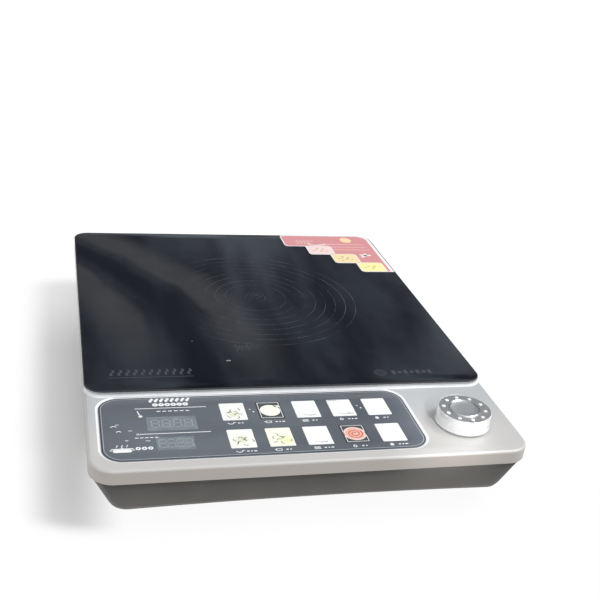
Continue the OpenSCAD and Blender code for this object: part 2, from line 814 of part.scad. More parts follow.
module cord_gland() {
    color([0.12, 0.12, 0.12])
    translate([gland_x, gland_y, gland_z]) difference() {
        union() {
            rotate([90, 0, 0]) cylinder(r = gland_r, h = gland_l);
            rotate([-90, 0, 0]) cylinder(r = gland_flange_r, h = gland_flange_t);
        }
        translate([0, gland_flange_t + 1, 0]) rotate([90, 0, 0]) cylinder(r = cord_hole_r, h = gland_l + gland_flange_t + 2);
    }
}

// ---- Heater ----

// The opening that the limiter rod passes through
module rod_way(gap) {
    translate([-dish_r - 2, 0, rod_z]) rotate([0, 90, 0]) cylinder(r = rod_r + gap, h = 2 * dish_r + 4);
}

module heater_dish() {
    color([0.72, 0.73, 0.74])
    at_glass() difference() {
        translate([0, 0, dish_z]) cylinder(r = dish_r, h = dish_h);
        translate([0, 0, dish_z + dish_t]) cylinder(r = dish_r - dish_t, h = dish_h);
        rod_way(rod_gap);
    }
}

// A moulded dish: a floor that holds the ribbons and a wall that meets the glass
module heater_insulation() {
    color([0.90, 0.88, 0.82])
    at_glass() difference() {
        translate([0, 0, dish_z + dish_t]) cylinder(r = dish_r - dish_t, h = deck_h - dish_z - dish_t);
        translate([0, 0, hot_z]) cylinder(r = hot_r, h = dish_h);
        rod_way(rod_gap);
    }
}

// A corrugated ribbon on a spiral: every second point of its centre line is bent outwards
function spiral_point(r0, pitch, i, n, side) =
    let (a = 360 * i / n, r = r0 + pitch * i / n + (i % 2 == 0 ? 0.9 : -0.9) + side * ribbon_t / 2)
    [r * cos(a), r * sin(a)];
module ribbon(r0, pitch, turns, n) {
    last = turns * n;
    color([0.75, 0.42, 0.28])
    at_glass() translate([0, 0, hot_z]) linear_extrude(ribbon_h) polygon(concat(
        [for (i = [0:last]) spiral_point(r0, pitch, i, n, 1)],
        [for (i = [last:-1:0]) spiral_point(r0, pitch, i, n, -1)]
    ));
}

module outer_ribbon() { ribbon(hot_r - 32, 8.5, 3, 40); }
module inner_ribbon() { ribbon(hot_r - 62, 8.5, 3, 28); }

module limiter_rod() {
    color([0.88, 0.89, 0.86])
    at_glass() translate([-dish_r + 4, 0, rod_z]) rotate([0, 90, 0]) cylinder(r = rod_r, h = rod_l - 4);
}

module limiter_switch() {
    color([0.92, 0.90, 0.84])
    at_glass() translate([dish_r + 2, -limiter_d / 2, rod_z - limiter_h / 2]) cube([limiter_w, limiter_d, limiter_h - 2.5]);
}

module heater_terminal() {
    color([0.93, 0.92, 0.88])
    translate([terminal_x - terminal_w / 2, glass_y - dish_r - terminal_d - 0.2, dish_z + 3]) difference() {
        cube([terminal_w, terminal_d, terminal_h]);
        for (x = [0.25, 0.75]) translate([terminal_w * x, 2.5, terminal_h / 2]) cylinder(r = terminal_bore_r, h = terminal_h);
    }
}

module heater_bracket() {
    color([0.68, 0.69, 0.70])
    translate([0, glass_y, bracket_z]) difference() {
        translate([-bracket_reach - 7, -bracket_w / 2, 0]) cube([2 * bracket_reach + 14, bracket_w, bracket_t]);
        for (x = [-1, 1]) translate([x * bracket_reach, 0, -1]) cylinder(r = clear_r, h = bracket_t + 2);
    }
}

// Two arched leaves press the dish up against the glass: each stands on the bracket by its ends
function leaf_point(i, n, lift) =
    let (x = -1 + 2 * i / n) [x * spring_half, (dish_z - bracket_z - bracket_t - spring_t) * (1 - x * x) + lift];
module heater_springs() {
    n = 16;
    color([0.60, 0.62, 0.65])
    for (x = [-1, 1]) translate([x * spring_x, glass_y + spring_w / 2, bracket_z + bracket_t]) rotate([90, 0, 0])
        linear_extrude(spring_w) polygon(concat(
            [for (i = [0:n]) leaf_point(i, n, 0)],
            [for (i = [n:-1:0]) leaf_point(i, n, spring_t)]
        ));
}

module heat_shield() {
    color([0.78, 0.79, 0.80])
    at_glass() translate([0, 0, shield_z]) cylinder(r = shield_r, h = shield_t);
}

// Two insulated leads run from the power board to the heater terminal
lead_r = 1.2;
lead_routes = [
    [[-12, -10, 6], [-12, -10, 14], [-12, -9, 20], [-11, -6, 24], [-9.5, -1, 26], [-8, 5, 25.5], [-7.5, 7.6, 23], [-7.5, 8, 20],
        [-7.5, 8, 17]],
    [[12, -12, 6], [12, -12, 14], [12, -10.5, 20], [11, -7, 24.5], [9.5, -1, 26.5], [8, 5, 26], [7.5, 7.6, 23], [7.5, 8, 20],
        [7.5, 8, 17]]
];
module heater_leads() {
    color([0.80, 0.78, 0.70])
    for (route = lead_routes)
        wire([for (p = route) [terminal_x + p.x, glass_y - dish_r - terminal_d - 5.7 + p.y, power_top - 6 + p.z]], lead_r);
}

// ---- Fan ----

module fan_frame() {
    color([0.14, 0.14, 0.15])
    translate([fan_x, fan_y, fan_z]) difference() {
        union() {
            difference() {
                linear_extrude(fan_t) rrect(fan_w, fan_w, 4);
                translate([0, 0, -1]) cylinder(r = fan_bore_r, h = fan_t + 2);
            }
            translate([0, 0, fan_t - fan_plate_t]) cylinder(r = fan_hub_r, h = fan_plate_t);
            for (a = [0:90:270]) rotate([0, 0, a + 45]) translate([fan_hub_r - 2, -1.5, fan_t - fan_plate_t])
                cube([fan_bore_r - fan_hub_r + 3, 3, fan_plate_t]);
            translate([0, 0, 4]) cylinder(r = fan_tube_r, h = fan_t - 4);
        }
        for (x = [-1, 1], y = [-1, 1]) translate([x * fan_hole, y * fan_hole, -1]) cylinder(r = clear_r, h = fan_t + 2);
        translate([0, 0, 2]) cylinder(r = fan_shaft_r + fan_pin_gap, h = fan_t - 3.5);
    }
}

module fan_stator() {
    color([0.70, 0.42, 0.22])
    translate([fan_x, fan_y, fan_z + 5]) difference() {
        union() {
            cylinder(r = 5.5, h = fan_t - 5 - fan_plate_t);
            for (a = [0:90:270]) rotate([0, 0, a]) {
                translate([4, -2, 1]) cube([6, 4, fan_t - 7 - fan_plate_t]);
                translate([9.5, -4.5, 1]) cube([2, 9, fan_t - 7 - fan_plate_t]);
            }
        }
        translate([0, 0, -1]) cylinder(r = fan_tube_r, h = fan_t);
    }
}

// A cup that turns over the stator, with tilted blades around it and a pin in the bearing tube
module fan_rotor() {
    cup_h = fan_t - fan_plate_t - 1.5;
    color([0.10, 0.10, 0.11])
    translate([fan_x, fan_y, fan_z + 1]) {
        difference() {
            cylinder(r = fan_hub_r - 1, h = cup_h);
            translate([0, 0, 1.5]) cylinder(r = fan_hub_r - 2.5, h = cup_h);
        }
        translate([0, 0, 1]) cylinder(r = fan_shaft_r, h = cup_h - 2.5);
        intersection() {
            difference() {
                cylinder(r = fan_tip_r, h = cup_h - 0.5);
                translate([0, 0, -1]) cylinder(r = fan_hub_r - 1.4, h = fan_t);
            }
            for (i = [0:blade_count - 1]) rotate([0, 0, i * 360 / blade_count])
                translate([0, 0, (cup_h - 0.5) / 2]) rotate([52, 0, 0]) translate([fan_hub_r - 3, -12, -0.7])
                    cube([fan_tip_r, 24, 1.4]);
        }
    }
}

module fan_screws() {
    color([0.70, 0.70, 0.72])
    fan_places() translate([0, 0, fan_z + fan_t]) rotate([180, 0, 0]) screw(fan_t + 3);
}

// ---- Power board ----

module power_board() {
    color([0.60, 0.50, 0.28])
    difference() {
        translate([power_x0, power_y0, power_z]) cube([power_x1 - power_x0, power_y1 - power_y0, board_t]);
        power_places() translate([0, 0, power_z - 1]) cylinder(r = clear_r, h = board_t + 2);
    }
}

// Parts on the power board
fuse_r = 2.6;
fuse_l = 20;
fuse_lift = 4;
fuse_clip_d = 4.4;
sink_t = 3;
fin_count = 6;
fin_pitch = 5.6;
tall_part_h = 15;

// Places on the power board are measured from its left front corner
module on_power(x, y) {
    translate([power_x0 + x, power_y0 + y, power_top]) children();
}

module heat_sink() {
    color([0.70, 0.71, 0.73])
    on_power(56, 24) {
        cube([(fin_count - 1) * fin_pitch + 2, sink_t, tall_part_h]);
        for (i = [0:fin_count - 1]) translate([i * fin_pitch, sink_t - 0.1, 0]) cube([2, 11, tall_part_h]);
    }
}

module power_triac() {
    color([0.12, 0.12, 0.13])
    on_power(66, 19.2) cube([10, 4.6, 14]);
}

module relay() {
    color([0.16, 0.28, 0.50])
    on_power(46, 3) cube([19, 15, tall_part_h]);
}

module filter_capacitor() {
    color([0.78, 0.66, 0.20])
    on_power(92, 6) cube([26, 10, tall_part_h]);
}

module transformer() {
    color([0.72, 0.62, 0.25])
    on_power(92, 20) {
        cube([20, 20, 4]);
        translate([3, 3, 3.9]) cube([14, 14, 8]);
        translate([0, 0, 11.8]) cube([20, 20, 4]);
    }
}

module fuse() {
    color([0.85, 0.86, 0.84])
    on_power(12, 18) translate([0, 0, fuse_lift]) {
        rotate([0, 90, 0]) cylinder(r = fuse_r, h = fuse_l);
        for (x = [1, fuse_l - 5]) translate([x, -fuse_clip_d / 2, -fuse_lift]) cube([4, fuse_clip_d, fuse_lift]);
    }
}

module mains_terminal() {
    color([0.15, 0.40, 0.30])
    on_power(115, 22) difference() {
        cube([10, 16, 10]);
        for (y = [4, 12]) translate([5, y, 4]) cylinder(r = 2, h = 10);
    }
}

glass_plate();
glass_seal();
corner_label();
top_cover();
panel_film();
fry_key();
hot_pot_key();
porridge_key();
boil_key();
lock_key();
barbecue_key();
soup_key();
steam_key();
power_key();
timer_key();
upper_window();
lower_window();
knob_skirt();
knob_face();
knob_cap();
knob_dots();
encoder_shaft();
encoder_body();
encoder_nut();
control_board();
tact_switches();
upper_display();
lower_display();
ribbon_cable();
base_shell();
front_left_foot();
front_right_foot();
rear_left_foot();
rear_right_foot();
case_screws();
inner_screws();
cord_gland();
heater_dish();
heater_insulation();
outer_ribbon();
inner_ribbon();
limiter_rod();
limiter_switch();
heater_terminal();
heater_bracket();
heater_springs();
heat_shield();
heater_leads();
fan_frame();
fan_stator();
fan_rotor();
fan_screws();
power_board();
heat_sink();
power_triac();
relay();
filter_capacitor();
transformer();
fuse();
mains_terminal();
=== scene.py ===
"""A portable radiant cooktop: black glass, silver cover, picture keys and a chrome knob, dressed around its frame."""
import logging
import math
from collections.abc import Sequence
from dataclasses import dataclass, field, replace
from enum import Enum

import bmesh
import bpy
import numpy as np
from mathutils import Matrix, Vector
from mathutils.geometry import tessellate_polygon


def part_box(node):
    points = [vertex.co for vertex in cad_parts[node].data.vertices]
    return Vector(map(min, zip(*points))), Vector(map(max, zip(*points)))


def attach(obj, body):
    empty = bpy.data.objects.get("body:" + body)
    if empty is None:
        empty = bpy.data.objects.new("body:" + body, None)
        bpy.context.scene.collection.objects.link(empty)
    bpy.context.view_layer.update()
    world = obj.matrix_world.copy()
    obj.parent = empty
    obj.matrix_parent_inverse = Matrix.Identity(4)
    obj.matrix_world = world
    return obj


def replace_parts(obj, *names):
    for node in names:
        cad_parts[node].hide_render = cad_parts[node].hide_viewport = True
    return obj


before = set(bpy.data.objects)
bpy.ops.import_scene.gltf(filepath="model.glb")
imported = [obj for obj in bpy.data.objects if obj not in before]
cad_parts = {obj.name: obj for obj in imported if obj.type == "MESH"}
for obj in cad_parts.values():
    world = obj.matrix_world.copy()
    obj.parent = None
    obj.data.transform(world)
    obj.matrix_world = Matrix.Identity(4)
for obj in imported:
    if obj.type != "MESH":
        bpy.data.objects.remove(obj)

LOG = logging.getLogger("cooktop")
MM = 0.001
MERGE = 2e-6
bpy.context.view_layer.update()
ROOT = "cooktop"
Colour = tuple[float, float, float]
Place = tuple[float, float, float]
Point = tuple[float, float]
KEY_ORDER = (
    "fry_key", "hot_pot_key", "porridge_key", "boil_key", "lock_key",
    "barbecue_key", "soup_key", "steam_key", "power_key", "timer_key",
)
WINDOWS = ("upper_window", "lower_window")
FEET = ("front_left_foot", "front_right_foot", "rear_left_foot", "rear_right_foot")


def grey(level: float) -> Colour:
    """A neutral colour."""
    return (level, level, level)


def toned(colour: Colour, factor: float) -> Colour:
    """A colour with each of its parts multiplied."""
    return tuple(part * factor for part in colour)


def stand(name: str, data: bpy.types.ID) -> bpy.types.Object:
    """Make an object of a mesh, a light or a camera, and put it in the scene."""
    made = bpy.data.objects.new(name, data)
    bpy.context.scene.collection.objects.link(made)
    return made


def facing(place: Place, aim: Place, roll: float = 0.0) -> Matrix:
    """The placement of something that stands at one point and looks at another.

    Args:
        place: Where it stands, in metres.
        aim: What it looks at.
        roll: Its turn about the line of sight, in degrees.

    Returns:
        The matrix.
    """
    look = Vector(aim) - Vector(place)
    turn = look.to_track_quat("-Z", "Y").to_matrix() @ Matrix.Rotation(math.radians(roll), 3, "Z")
    return Matrix.Translation(place) @ turn.to_4x4()


# ---- Shader maths ----


class Value:
    """A shader socket that takes part in Python expressions."""

    def __init__(self, tree: "Tree", socket: bpy.types.NodeSocket) -> None:
        """Keep the socket and the tree that it belongs to.

        Args:
            tree: The tree that holds the socket.
            socket: The output socket.
        """
        self.tree = tree
        self.socket = socket

    def _maths(self, operation: str, *terms: "Value | float") -> "Value":
        """Add one Math node.

        Args:
            operation: The Math node's operation.
            terms: Its inputs, in order.

        Returns:
            The node's output.
        """
        return self.tree.node("ShaderNodeMath", {"operation": operation}, dict(enumerate(terms)))

    def __add__(self, other: "Value | float") -> "Value":
        """The sum of the two."""
        return self._maths("ADD", self, other)

    def __radd__(self, other: float) -> "Value":
        """The sum of the two."""
        return self._maths("ADD", other, self)

    def __sub__(self, other: "Value | float") -> "Value":
        """This less the other."""
        return self._maths("SUBTRACT", self, other)

    def __rsub__(self, other: float) -> "Value":
        """The other less this."""
        return self._maths("SUBTRACT", other, self)

    def __mul__(self, other: "Value | float") -> "Value":
        """The product of the two."""
        return self._maths("MULTIPLY", self, other)

    def __rmul__(self, other: float) -> "Value":
        """The product of the two."""
        return self._maths("MULTIPLY", other, self)

    def __truediv__(self, other: "Value | float") -> "Value":
        """This over the other."""
        return self._maths("DIVIDE", self, other)

    def root(self) -> "Value":
        """The square root."""
        return self._maths("SQRT", self)

    def sine(self) -> "Value":
        """The sine, in radians."""
        return self._maths("SINE", self)

    def angle_of(self, x: "Value") -> "Value":
        """The angle whose tangent is this over x."""
        return self._maths("ARCTAN2", self, x)

    def over(self, low: float, high: float, start: float = 0.0, end: float = 1.0) -> "Value":
        """A smooth step from one value to another.

        Args:
            low: Where the step begins.
            high: Where it ends. It may be the smaller of the two, for a step the other way.
            start: The value before the step.
            end: The value after it.

        Returns:
            The step.
        """
        limits = {"From Min": low, "From Max": high, "To Min": start, "To Max": end}
        return self.tree.node("ShaderNodeMapRange", {"interpolation_type": "SMOOTHSTEP"}, {"Value": self, **limits})


class Tree:
    """A material's or a world's node tree, with one method that adds a node."""

    def __init__(self, owner: bpy.types.Material | bpy.types.World) -> None:
        """Empty the owner's tree.

        Args:
            owner: The material or world.
        """
        owner.use_nodes = True
        self.tree = owner.node_tree
        self.tree.nodes.clear()

    def node(
        self, kind: str, settings: dict[str, object], inputs: dict[int | str, object], output: int | str | None = 0
    ) -> Value | None:
        """Add a node, set it up and link it.

        Args:
            kind: The node's type.
            settings: Attributes, which are set first.
            inputs: Socket names or indices, with a value or a Value to link.
            output: The name or index of the output that is returned, or None for a node that has none.

        Returns:
            One output of the node, if it has any.
        """
        made = self.tree.nodes.new(kind)
        for key, value in settings.items():
            setattr(made, key, value)
        for key, value in inputs.items():
            if isinstance(value, Value):
                self.tree.links.new(value.socket, made.inputs[key])
            else:
                made.inputs[key].default_value = value
        return None if output is None else Value(self, made.outputs[output])

    def axes(self, where: Value) -> tuple[Value, Value, Value]:
        """The three parts of a vector."""
        node = self.node("ShaderNodeSeparateXYZ", {}, {0: where}).socket.node
        return tuple(Value(self, node.outputs[i]) for i in range(3))

    def show(self, kind: str, surface: Value) -> None:
        """Link the surface to the output node of a kind."""
        self.node(kind, {}, {"Surface": surface}, None)


class Shader(Tree):
    """A surface material."""

    def __init__(self, name: str) -> None:
        """Start an empty material.

        Args:
            name: The material's name.
        """
        self.material = bpy.data.materials.new(name)
        super().__init__(self.material)

    def position(self, centre: Point = (0.0, 0.0)) -> Value:
        """Object coordinates in millimetres, counted from a point.

        Args:
            centre: The point of the object that becomes the origin, in millimetres.

        Returns:
            The coordinates.
        """
        raw = self.node("ShaderNodeTexCoord", {}, {}, "Object")
        place = {"Location": (centre[0] * MM, centre[1] * MM, 0.0), "Scale": (MM, MM, MM)}
        return self.node("ShaderNodeMapping", {"vector_type": "TEXTURE"}, {"Vector": raw, **place})

    def stretched(self, where: Value, scale: tuple[float, float, float]) -> Value:
        """Coordinates multiplied along each axis."""
        return self.node("ShaderNodeVectorMath", {"operation": "MULTIPLY"}, {0: where, 1: scale})

    def noise(self, where: Value, scale: float, detail: float = 3.0, roughness: float = 0.5) -> Value:
        """Smooth noise from 0 to 1.

        Args:
            where: The coordinates, in millimetres.
            scale: Features per millimetre.
            detail: The number of finer layers.
            roughness: How strong the finer layers are.

        Returns:
            The noise.
        """
        inputs = {"Vector": where, "Scale": scale, "Detail": detail, "Roughness": roughness}
        return self.node("ShaderNodeTexNoise", {}, inputs, "Fac")

    def mix(self, factor: Value, first: Value | Colour, second: Value | Colour) -> Value:
        """A colour between two colours.

        Args:
            factor: 0 for the first and 1 for the second.
            first: A colour or a Value.
            second: A colour or a Value.

        Returns:
            The mixed colour.
        """
        colours = {6: first, 7: second}
        shades = {key: c if isinstance(c, Value) else (*c, 1.0) for key, c in colours.items()}
        return self.node("ShaderNodeMix", {"data_type": "RGBA"}, {0: factor, **shades}, 2)

    def bump(self, height: Value, depth: float, strength: float = 1.0) -> Value:
        """A normal that is tilted by a height.

        Args:
            height: The height, from 0 to 1.
            depth: How many millimetres 1 stands for.
            strength: How strongly it shows.

        Returns:
            The normal.
        """
        return self.node("ShaderNodeBump", {}, {"Height": height, "Distance": depth * MM, "Strength": strength})

    def finish(self, **inputs: Value | Colour | float) -> bpy.types.Material:
        """Add the surface shader and the output.

        Args:
            inputs: The surface shader's inputs, with underscores for spaces.

        Returns:
            The finished material.
        """
        named = {}
        for key, value in inputs.items():
            name = key.replace("_", " ")
            named[name] = (*value, 1.0) if isinstance(value, tuple) and len(value) == 3 else value
        self.show("ShaderNodeOutputMaterial", self.node("ShaderNodeBsdfPrincipled", {}, named))
        return self.material


# ---- Finishes ----


class Finish:
    """What a piece is covered with. Each kind links its own nodes."""

    def build(self, name: str) -> bpy.types.Material:
        """Make the finish a material.

        Args:
            name: The material's name.

        Returns:
            The finished material.
        """
        return self.link(Shader(name))

    def link(self, s: Shader) -> bpy.types.Material:
        """Add the finish's nodes.

        Args:
            s: The empty shader.

        Returns:
            The finished material.
        """
        raise NotImplementedError


@dataclass(frozen=True)
class BlackGlass(Finish):
    """Polished glass ceramic: nearly black, with painted reflections in its colour: a cloudy veil of light that one
    dark streak runs through.
    """

    tint: Colour = (0.002, 0.003, 0.006)
    # Colours of the painted reflections: a cloudy veil of light, and a lighter band beside the streak.
    painted_reflection_haze: Colour = (0.017, 0.020, 0.027)
    painted_sheen: Colour = (0.040, 0.041, 0.045)
    roughness: float = 0.05
    # Shape of the painted reflection: a dark streak that bends and wavers, with the lighter band beside it.
    reflection_streak_foot: Point = (-60.0, -60.0)
    reflection_streak_bend: float = 0.0019
    reflection_streak_width: float = 20.0
    reflection_streak_swing: float = 30.0
    reflection_bank_end: Point = (72.0, 42.0)
    reflection_bank_front: Point = (-130.0, 40.0)

    def link(self, s: Shader) -> bpy.types.Material:
        """Painted reflections: a cloudy veil of light and a lighter band beside it, both clear of the dark streak."""
        where = s.position()
        x, y, _ = s.axes(where)
        folds = s.noise(s.stretched(where, (1.0, 0.35, 1.0)), 0.022, 4.0, 0.5)
        along = y - self.reflection_streak_foot[1]
        across = x - self.reflection_streak_foot[0] + along * along * self.reflection_streak_bend + (folds - 0.5) * self.reflection_streak_swing
        away = (across * across).root()
        # Painted reflection: the dark streak, and the lighter band beside it.
        streak = away.over(self.reflection_streak_width, self.reflection_streak_width * 0.3)
        reflection_bank = away.over(self.reflection_streak_width, self.reflection_streak_width * 1.6) * away.over(*self.reflection_bank_end)
        reflection_bank = reflection_bank * y.over(*self.reflection_bank_front)
        # Painted reflection: the cloudy veil of light, kept out of the streak.
        reflection_cloud = folds.over(0.30, 0.62) * (1.0 - streak)
        fine = s.noise(where, 0.05, 4.0, 0.6)
        # The glass's own tint with the painted veil of reflected light over it.
        smoke = s.mix(reflection_cloud * (0.55 + fine * 0.9), self.tint, self.painted_reflection_haze)
        return s.finish(
            Base_Color=s.mix(reflection_bank * (0.5 + fine * 0.8), smoke, self.painted_sheen),
            Roughness=self.roughness + fine.over(0.4, 0.8) * 0.05,
            IOR=1.54,
            Normal=s.bump(folds, 0.35, 0.6),
        )


@dataclass(frozen=True)
class GroundEdge(Finish):
    """The plate's ground edge: dark at its top, with a thin smear of pale sealant below."""

    dark: Colour = (0.030, 0.032, 0.036)
    smear: Colour = (0.46, 0.46, 0.47)
    line: float = 49.0

    def link(self, s: Shader) -> bpy.types.Material:
        """A dark top and an uneven line where the smear begins."""
        where = s.position()
        _, _, z = s.axes(where)
        rough = s.noise(where, 0.35, 3.0, 0.6)
        smeared = (z - rough * 0.5).over(self.line, self.line - 0.5)
        return s.finish(
            Base_Color=s.mix(smeared, self.dark, self.smear),
            Roughness=0.4 + rough * 0.15,
            Normal=s.bump(rough, 0.03, 0.4),
        )


@dataclass(frozen=True)
class ZonePrint(Finish):
    """The cooking zone's thin print, which the glass swallows on its left side."""

    colour: Colour = (0.105, 0.112, 0.122)
    fade: Point = (-62.0, -24.0)

    def link(self, s: Shader) -> bpy.types.Material:
        """A grainy print that fades out to the left."""
        where = s.position()
        x, _, _ = s.axes(where)
        grain = s.noise(where, 0.045, 3.0, 0.6)
        shade = s.mix(grain, self.colour, toned(self.colour, 0.8))
        shown = x.over(*self.fade) * grain.over(0.32, 0.60) * 0.85
        return s.finish(Base_Color=shade, Roughness=0.25 + grain * 0.1, Alpha=shown)


@dataclass(frozen=True)
class SilverPaint(Finish):
    """Satin silver paint with a fine flake under a thin clear coat."""

    colour: Colour = (0.625, 0.612, 0.595)
    dark: Colour = (0.570, 0.558, 0.542)
    metallic: float = 0.12
    roughness: float = 0.40
    # The upright band's colour is painted shade: darker than the deck, as less light falls on upright faces.
    band: Colour = (0.405, 0.375, 0.342)
    cool: Colour = (0.525, 0.545, 0.560)
    deck: float = 46.0
    turn_warm: Point = (-112.0, -160.0)

    def link(self, s: Shader) -> bpy.types.Material:
        """A cool deck that turns warm to the front, over a band darkened by painted shade, as the upright faces take
        less light.
        """
        where = s.position()
        flake = s.noise(where, 3.2, 2.0, 0.7)
        drift = s.noise(where, 0.02, 2.0)
        shade = s.mix(flake.over(0.3, 0.75), self.dark, self.colour)
        _, y, z = s.axes(where)
        warm = s.mix(drift.over(0.3, 0.8) * 0.35, shade, self.colour)
        flat = s.mix(y.over(*self.turn_warm), self.cool, warm)
        return s.finish(
            # Below the deck's height the rounded edge and the band take the painted shade.
            Base_Color=s.mix(z.over(self.deck - 0.6, self.deck - 2.0), flat, self.band),
            Metallic=self.metallic,
            Roughness=self.roughness + flake * 0.08,
            Coat_Weight=0.25,
            Coat_Roughness=0.25,
            Normal=s.bump(flake, 0.012, 0.35),
        )


@dataclass(frozen=True)
class PrintedFilm(Finish):
    """Screen-printed film with a faint orange-peel texture and a broad soft tone."""

    light: Colour = (0.142, 0.160, 0.184)
    deep: Colour = (0.095, 0.110, 0.132)
    roughness: float = 0.30

    def link(self, s: Shader) -> bpy.types.Material:
        """A tone that drifts, under a fine peel."""
        where = s.position()
        tone = s.noise(s.stretched(where, (0.6, 1.0, 1.0)), 0.022, 2.0)
        peel = s.noise(where, 0.9, 3.0, 0.55)
        return s.finish(
            Base_Color=s.mix(tone.over(0.32, 0.72), self.light, self.deep),
            Roughness=self.roughness + peel * 0.08,
            Specular_IOR_Level=0.5,
            Normal=s.bump(peel, 0.02, 0.3),
        )


@dataclass(frozen=True)
class Ink(Finish):
    """A printed mark: one colour, worn a little thin in places."""

    colour: Colour
    under: Colour
    roughness: float = 0.4
    wear: float = 0.25

    def link(self, s: Shader) -> bpy.types.Material:
        """The mark's colour, with the ground showing where it is thin."""
        grain = s.noise(s.position(), 1.4, 3.0, 0.6)
        return s.finish(
            Base_Color=s.mix(grain.over(0.45, 0.85) * self.wear, self.colour, self.under),
            Roughness=self.roughness + grain * 0.1,
        )


@dataclass(frozen=True)
class FoodPicture(Finish):
    """A key's printed picture: a pale ground that drifts into the colour of the food, with flecks."""

    ground: Colour
    food: Colour
    fleck: Colour
    centre: Point
    reach: float
    flecks: float

    def at(self, middle: Point) -> "FoodPicture":
        """The same picture on the key whose middle is given."""
        return replace(self, centre=(self.centre[0] + middle[0], self.centre[1] + middle[1]))

    def link(self, s: Shader) -> bpy.types.Material:
        """A round heap with flecks in it, on the ground's colour."""
        where = s.position(self.centre)
        x, y, _ = s.axes(where)
        distance = (x * x + y * y * 1.2).root() + s.noise(where, 0.25, 2.0) * 4.0
        heap = distance.over(self.reach + 3.0, self.reach - 3.0)
        bits = s.noise(where, 0.55, 3.0, 0.7).over(0.60, 0.72) * heap * self.flecks
        picture = s.mix(heap, self.ground, self.food)
        return s.finish(
            Base_Color=s.mix(bits, picture, self.fleck),
            Roughness=0.28,
            Coat_Weight=0.3,
            Coat_Roughness=0.12,
        )


@dataclass(frozen=True)
class SmokedFilm(Finish):
    """A translucent grey window over moulded digits, made as one opaque tone."""

    colour: Colour = (0.215, 0.250, 0.270)
    shade: Colour = (0.175, 0.205, 0.228)

    def link(self, s: Shader) -> bpy.types.Material:
        """Two close tones."""
        tone = s.noise(s.position(), 0.12, 2.0)
        return s.finish(Base_Color=s.mix(tone.over(0.35, 0.7), self.colour, self.shade), Roughness=0.22 + tone * 0.1)


class Lay(Enum):
    """Which way a metal's brushing runs."""

    ALONG_X = "along_x"
    AROUND = "around"
    NONE = "none"


@dataclass(frozen=True)
class Metal(Finish):
    """A metal with its brushing, and a tone that drifts a little."""

    colour: Colour
    roughness: float = 0.3
    lay: Lay = Lay.NONE
    centre: Point = (0.0, 0.0)
    depth: float = 0.01
    drift: float = 0.12

    def link(self, s: Shader) -> bpy.types.Material:
        """A grain that runs as the brushing does."""
        where = s.position(self.centre)
        x, y, z = s.axes(where)
        if self.lay is Lay.AROUND:
            radius = (x * x + y * y).root()
            line = s.node("ShaderNodeCombineXYZ", {}, {0: radius * 6.0, 1: y.angle_of(x) * 0.5, 2: z})
            grain = s.noise(line, 1.0, 3.0, 0.7)
        elif self.lay is Lay.ALONG_X:
            grain = s.noise(s.stretched(where, (0.05, 5.0, 5.0)), 1.0, 3.0, 0.7)
        else:
            grain = s.noise(where, 1.1, 4.0, 0.6)
        dull = toned(self.colour, 1.0 - self.drift)
        return s.finish(
            Base_Color=s.mix(grain.over(0.3, 0.75), dull, self.colour),
            Metallic=1.0,
            Roughness=self.roughness + grain * 0.1,
            Normal=s.bump(grain, self.depth, 0.5),
        )


@dataclass(frozen=True)
class SatinChrome(Finish):
    """Bright plated plastic: part mirror, part milky white, with faint ripples from the mould."""

    colour: Colour = grey(0.97)
    dull: Colour = grey(0.90)
    metallic: float = 0.35
    roughness: float = 0.16

    def link(self, s: Shader) -> bpy.types.Material:
        """Slow ripples under a coat."""
        ripple = s.noise(s.position(), 0.22, 2.0)
        return s.finish(
            Base_Color=s.mix(ripple.over(0.35, 0.7), self.dull, self.colour),
            Metallic=self.metallic,
            Roughness=self.roughness + ripple * 0.08,
            Coat_Weight=0.6,
            Coat_Roughness=0.05,
            Normal=s.bump(ripple, 0.10, 0.4),
        )


@dataclass(frozen=True)
class Plastic(Finish):
    """Moulded plastic or rubber with an eroded grain and slightly polished high spots."""

    colour: Colour
    roughness: float = 0.5
    grain: float = 0.035
    scale: float = 1.6
    drift: float = 0.15

    def link(self, s: Shader) -> bpy.types.Material:
        """A fine grain on a tone that drifts."""
        where = s.position()
        grain = s.noise(where, self.scale, 3.0, 0.6)
        tone = s.noise(where, 0.03, 2.0)
        dull = toned(self.colour, 1.0 - self.drift)
        return s.finish(
            Base_Color=s.mix(tone.over(0.35, 0.7), dull, self.colour),
            Roughness=self.roughness + grain * 0.15 - 0.05,
            Normal=s.bump(grain, self.grain, 0.5),
        )


@dataclass(frozen=True)
class Sealant(Finish):
    """Pale silicone with a smooth skin and slight tooling ripples."""

    colour: Colour = (0.88, 0.89, 0.91)
    dull: Colour = (0.76, 0.78, 0.81)

    def link(self, s: Shader) -> bpy.types.Material:
        """Ripples along the bead."""
        ripple = s.noise(s.stretched(s.position(), (0.25, 1.0, 1.0)), 0.5, 2.0)
        return s.finish(
            Base_Color=s.mix(ripple.over(0.3, 0.8), self.colour, self.dull),
            Roughness=0.22 + ripple * 0.1,
            Normal=s.bump(ripple, 0.08, 0.5),
        )


@dataclass(frozen=True)
class Fibre(Finish):
    """Pressed mineral board or a braided sleeve: pale, fibrous and rough."""

    colour: Colour
    scale: float = 1.2

    def link(self, s: Shader) -> bpy.types.Material:
        """Fine upright strands."""
        strands = s.noise(s.stretched(s.position(), (1.0, 1.0, 3.0)), self.scale, 5.0, 0.75)
        dark = toned(self.colour, 0.7)
        return s.finish(
            Base_Color=s.mix(strands.over(0.35, 0.7), dark, self.colour),
            Roughness=0.9,
            Normal=s.bump(strands, 0.25, 0.7),
        )


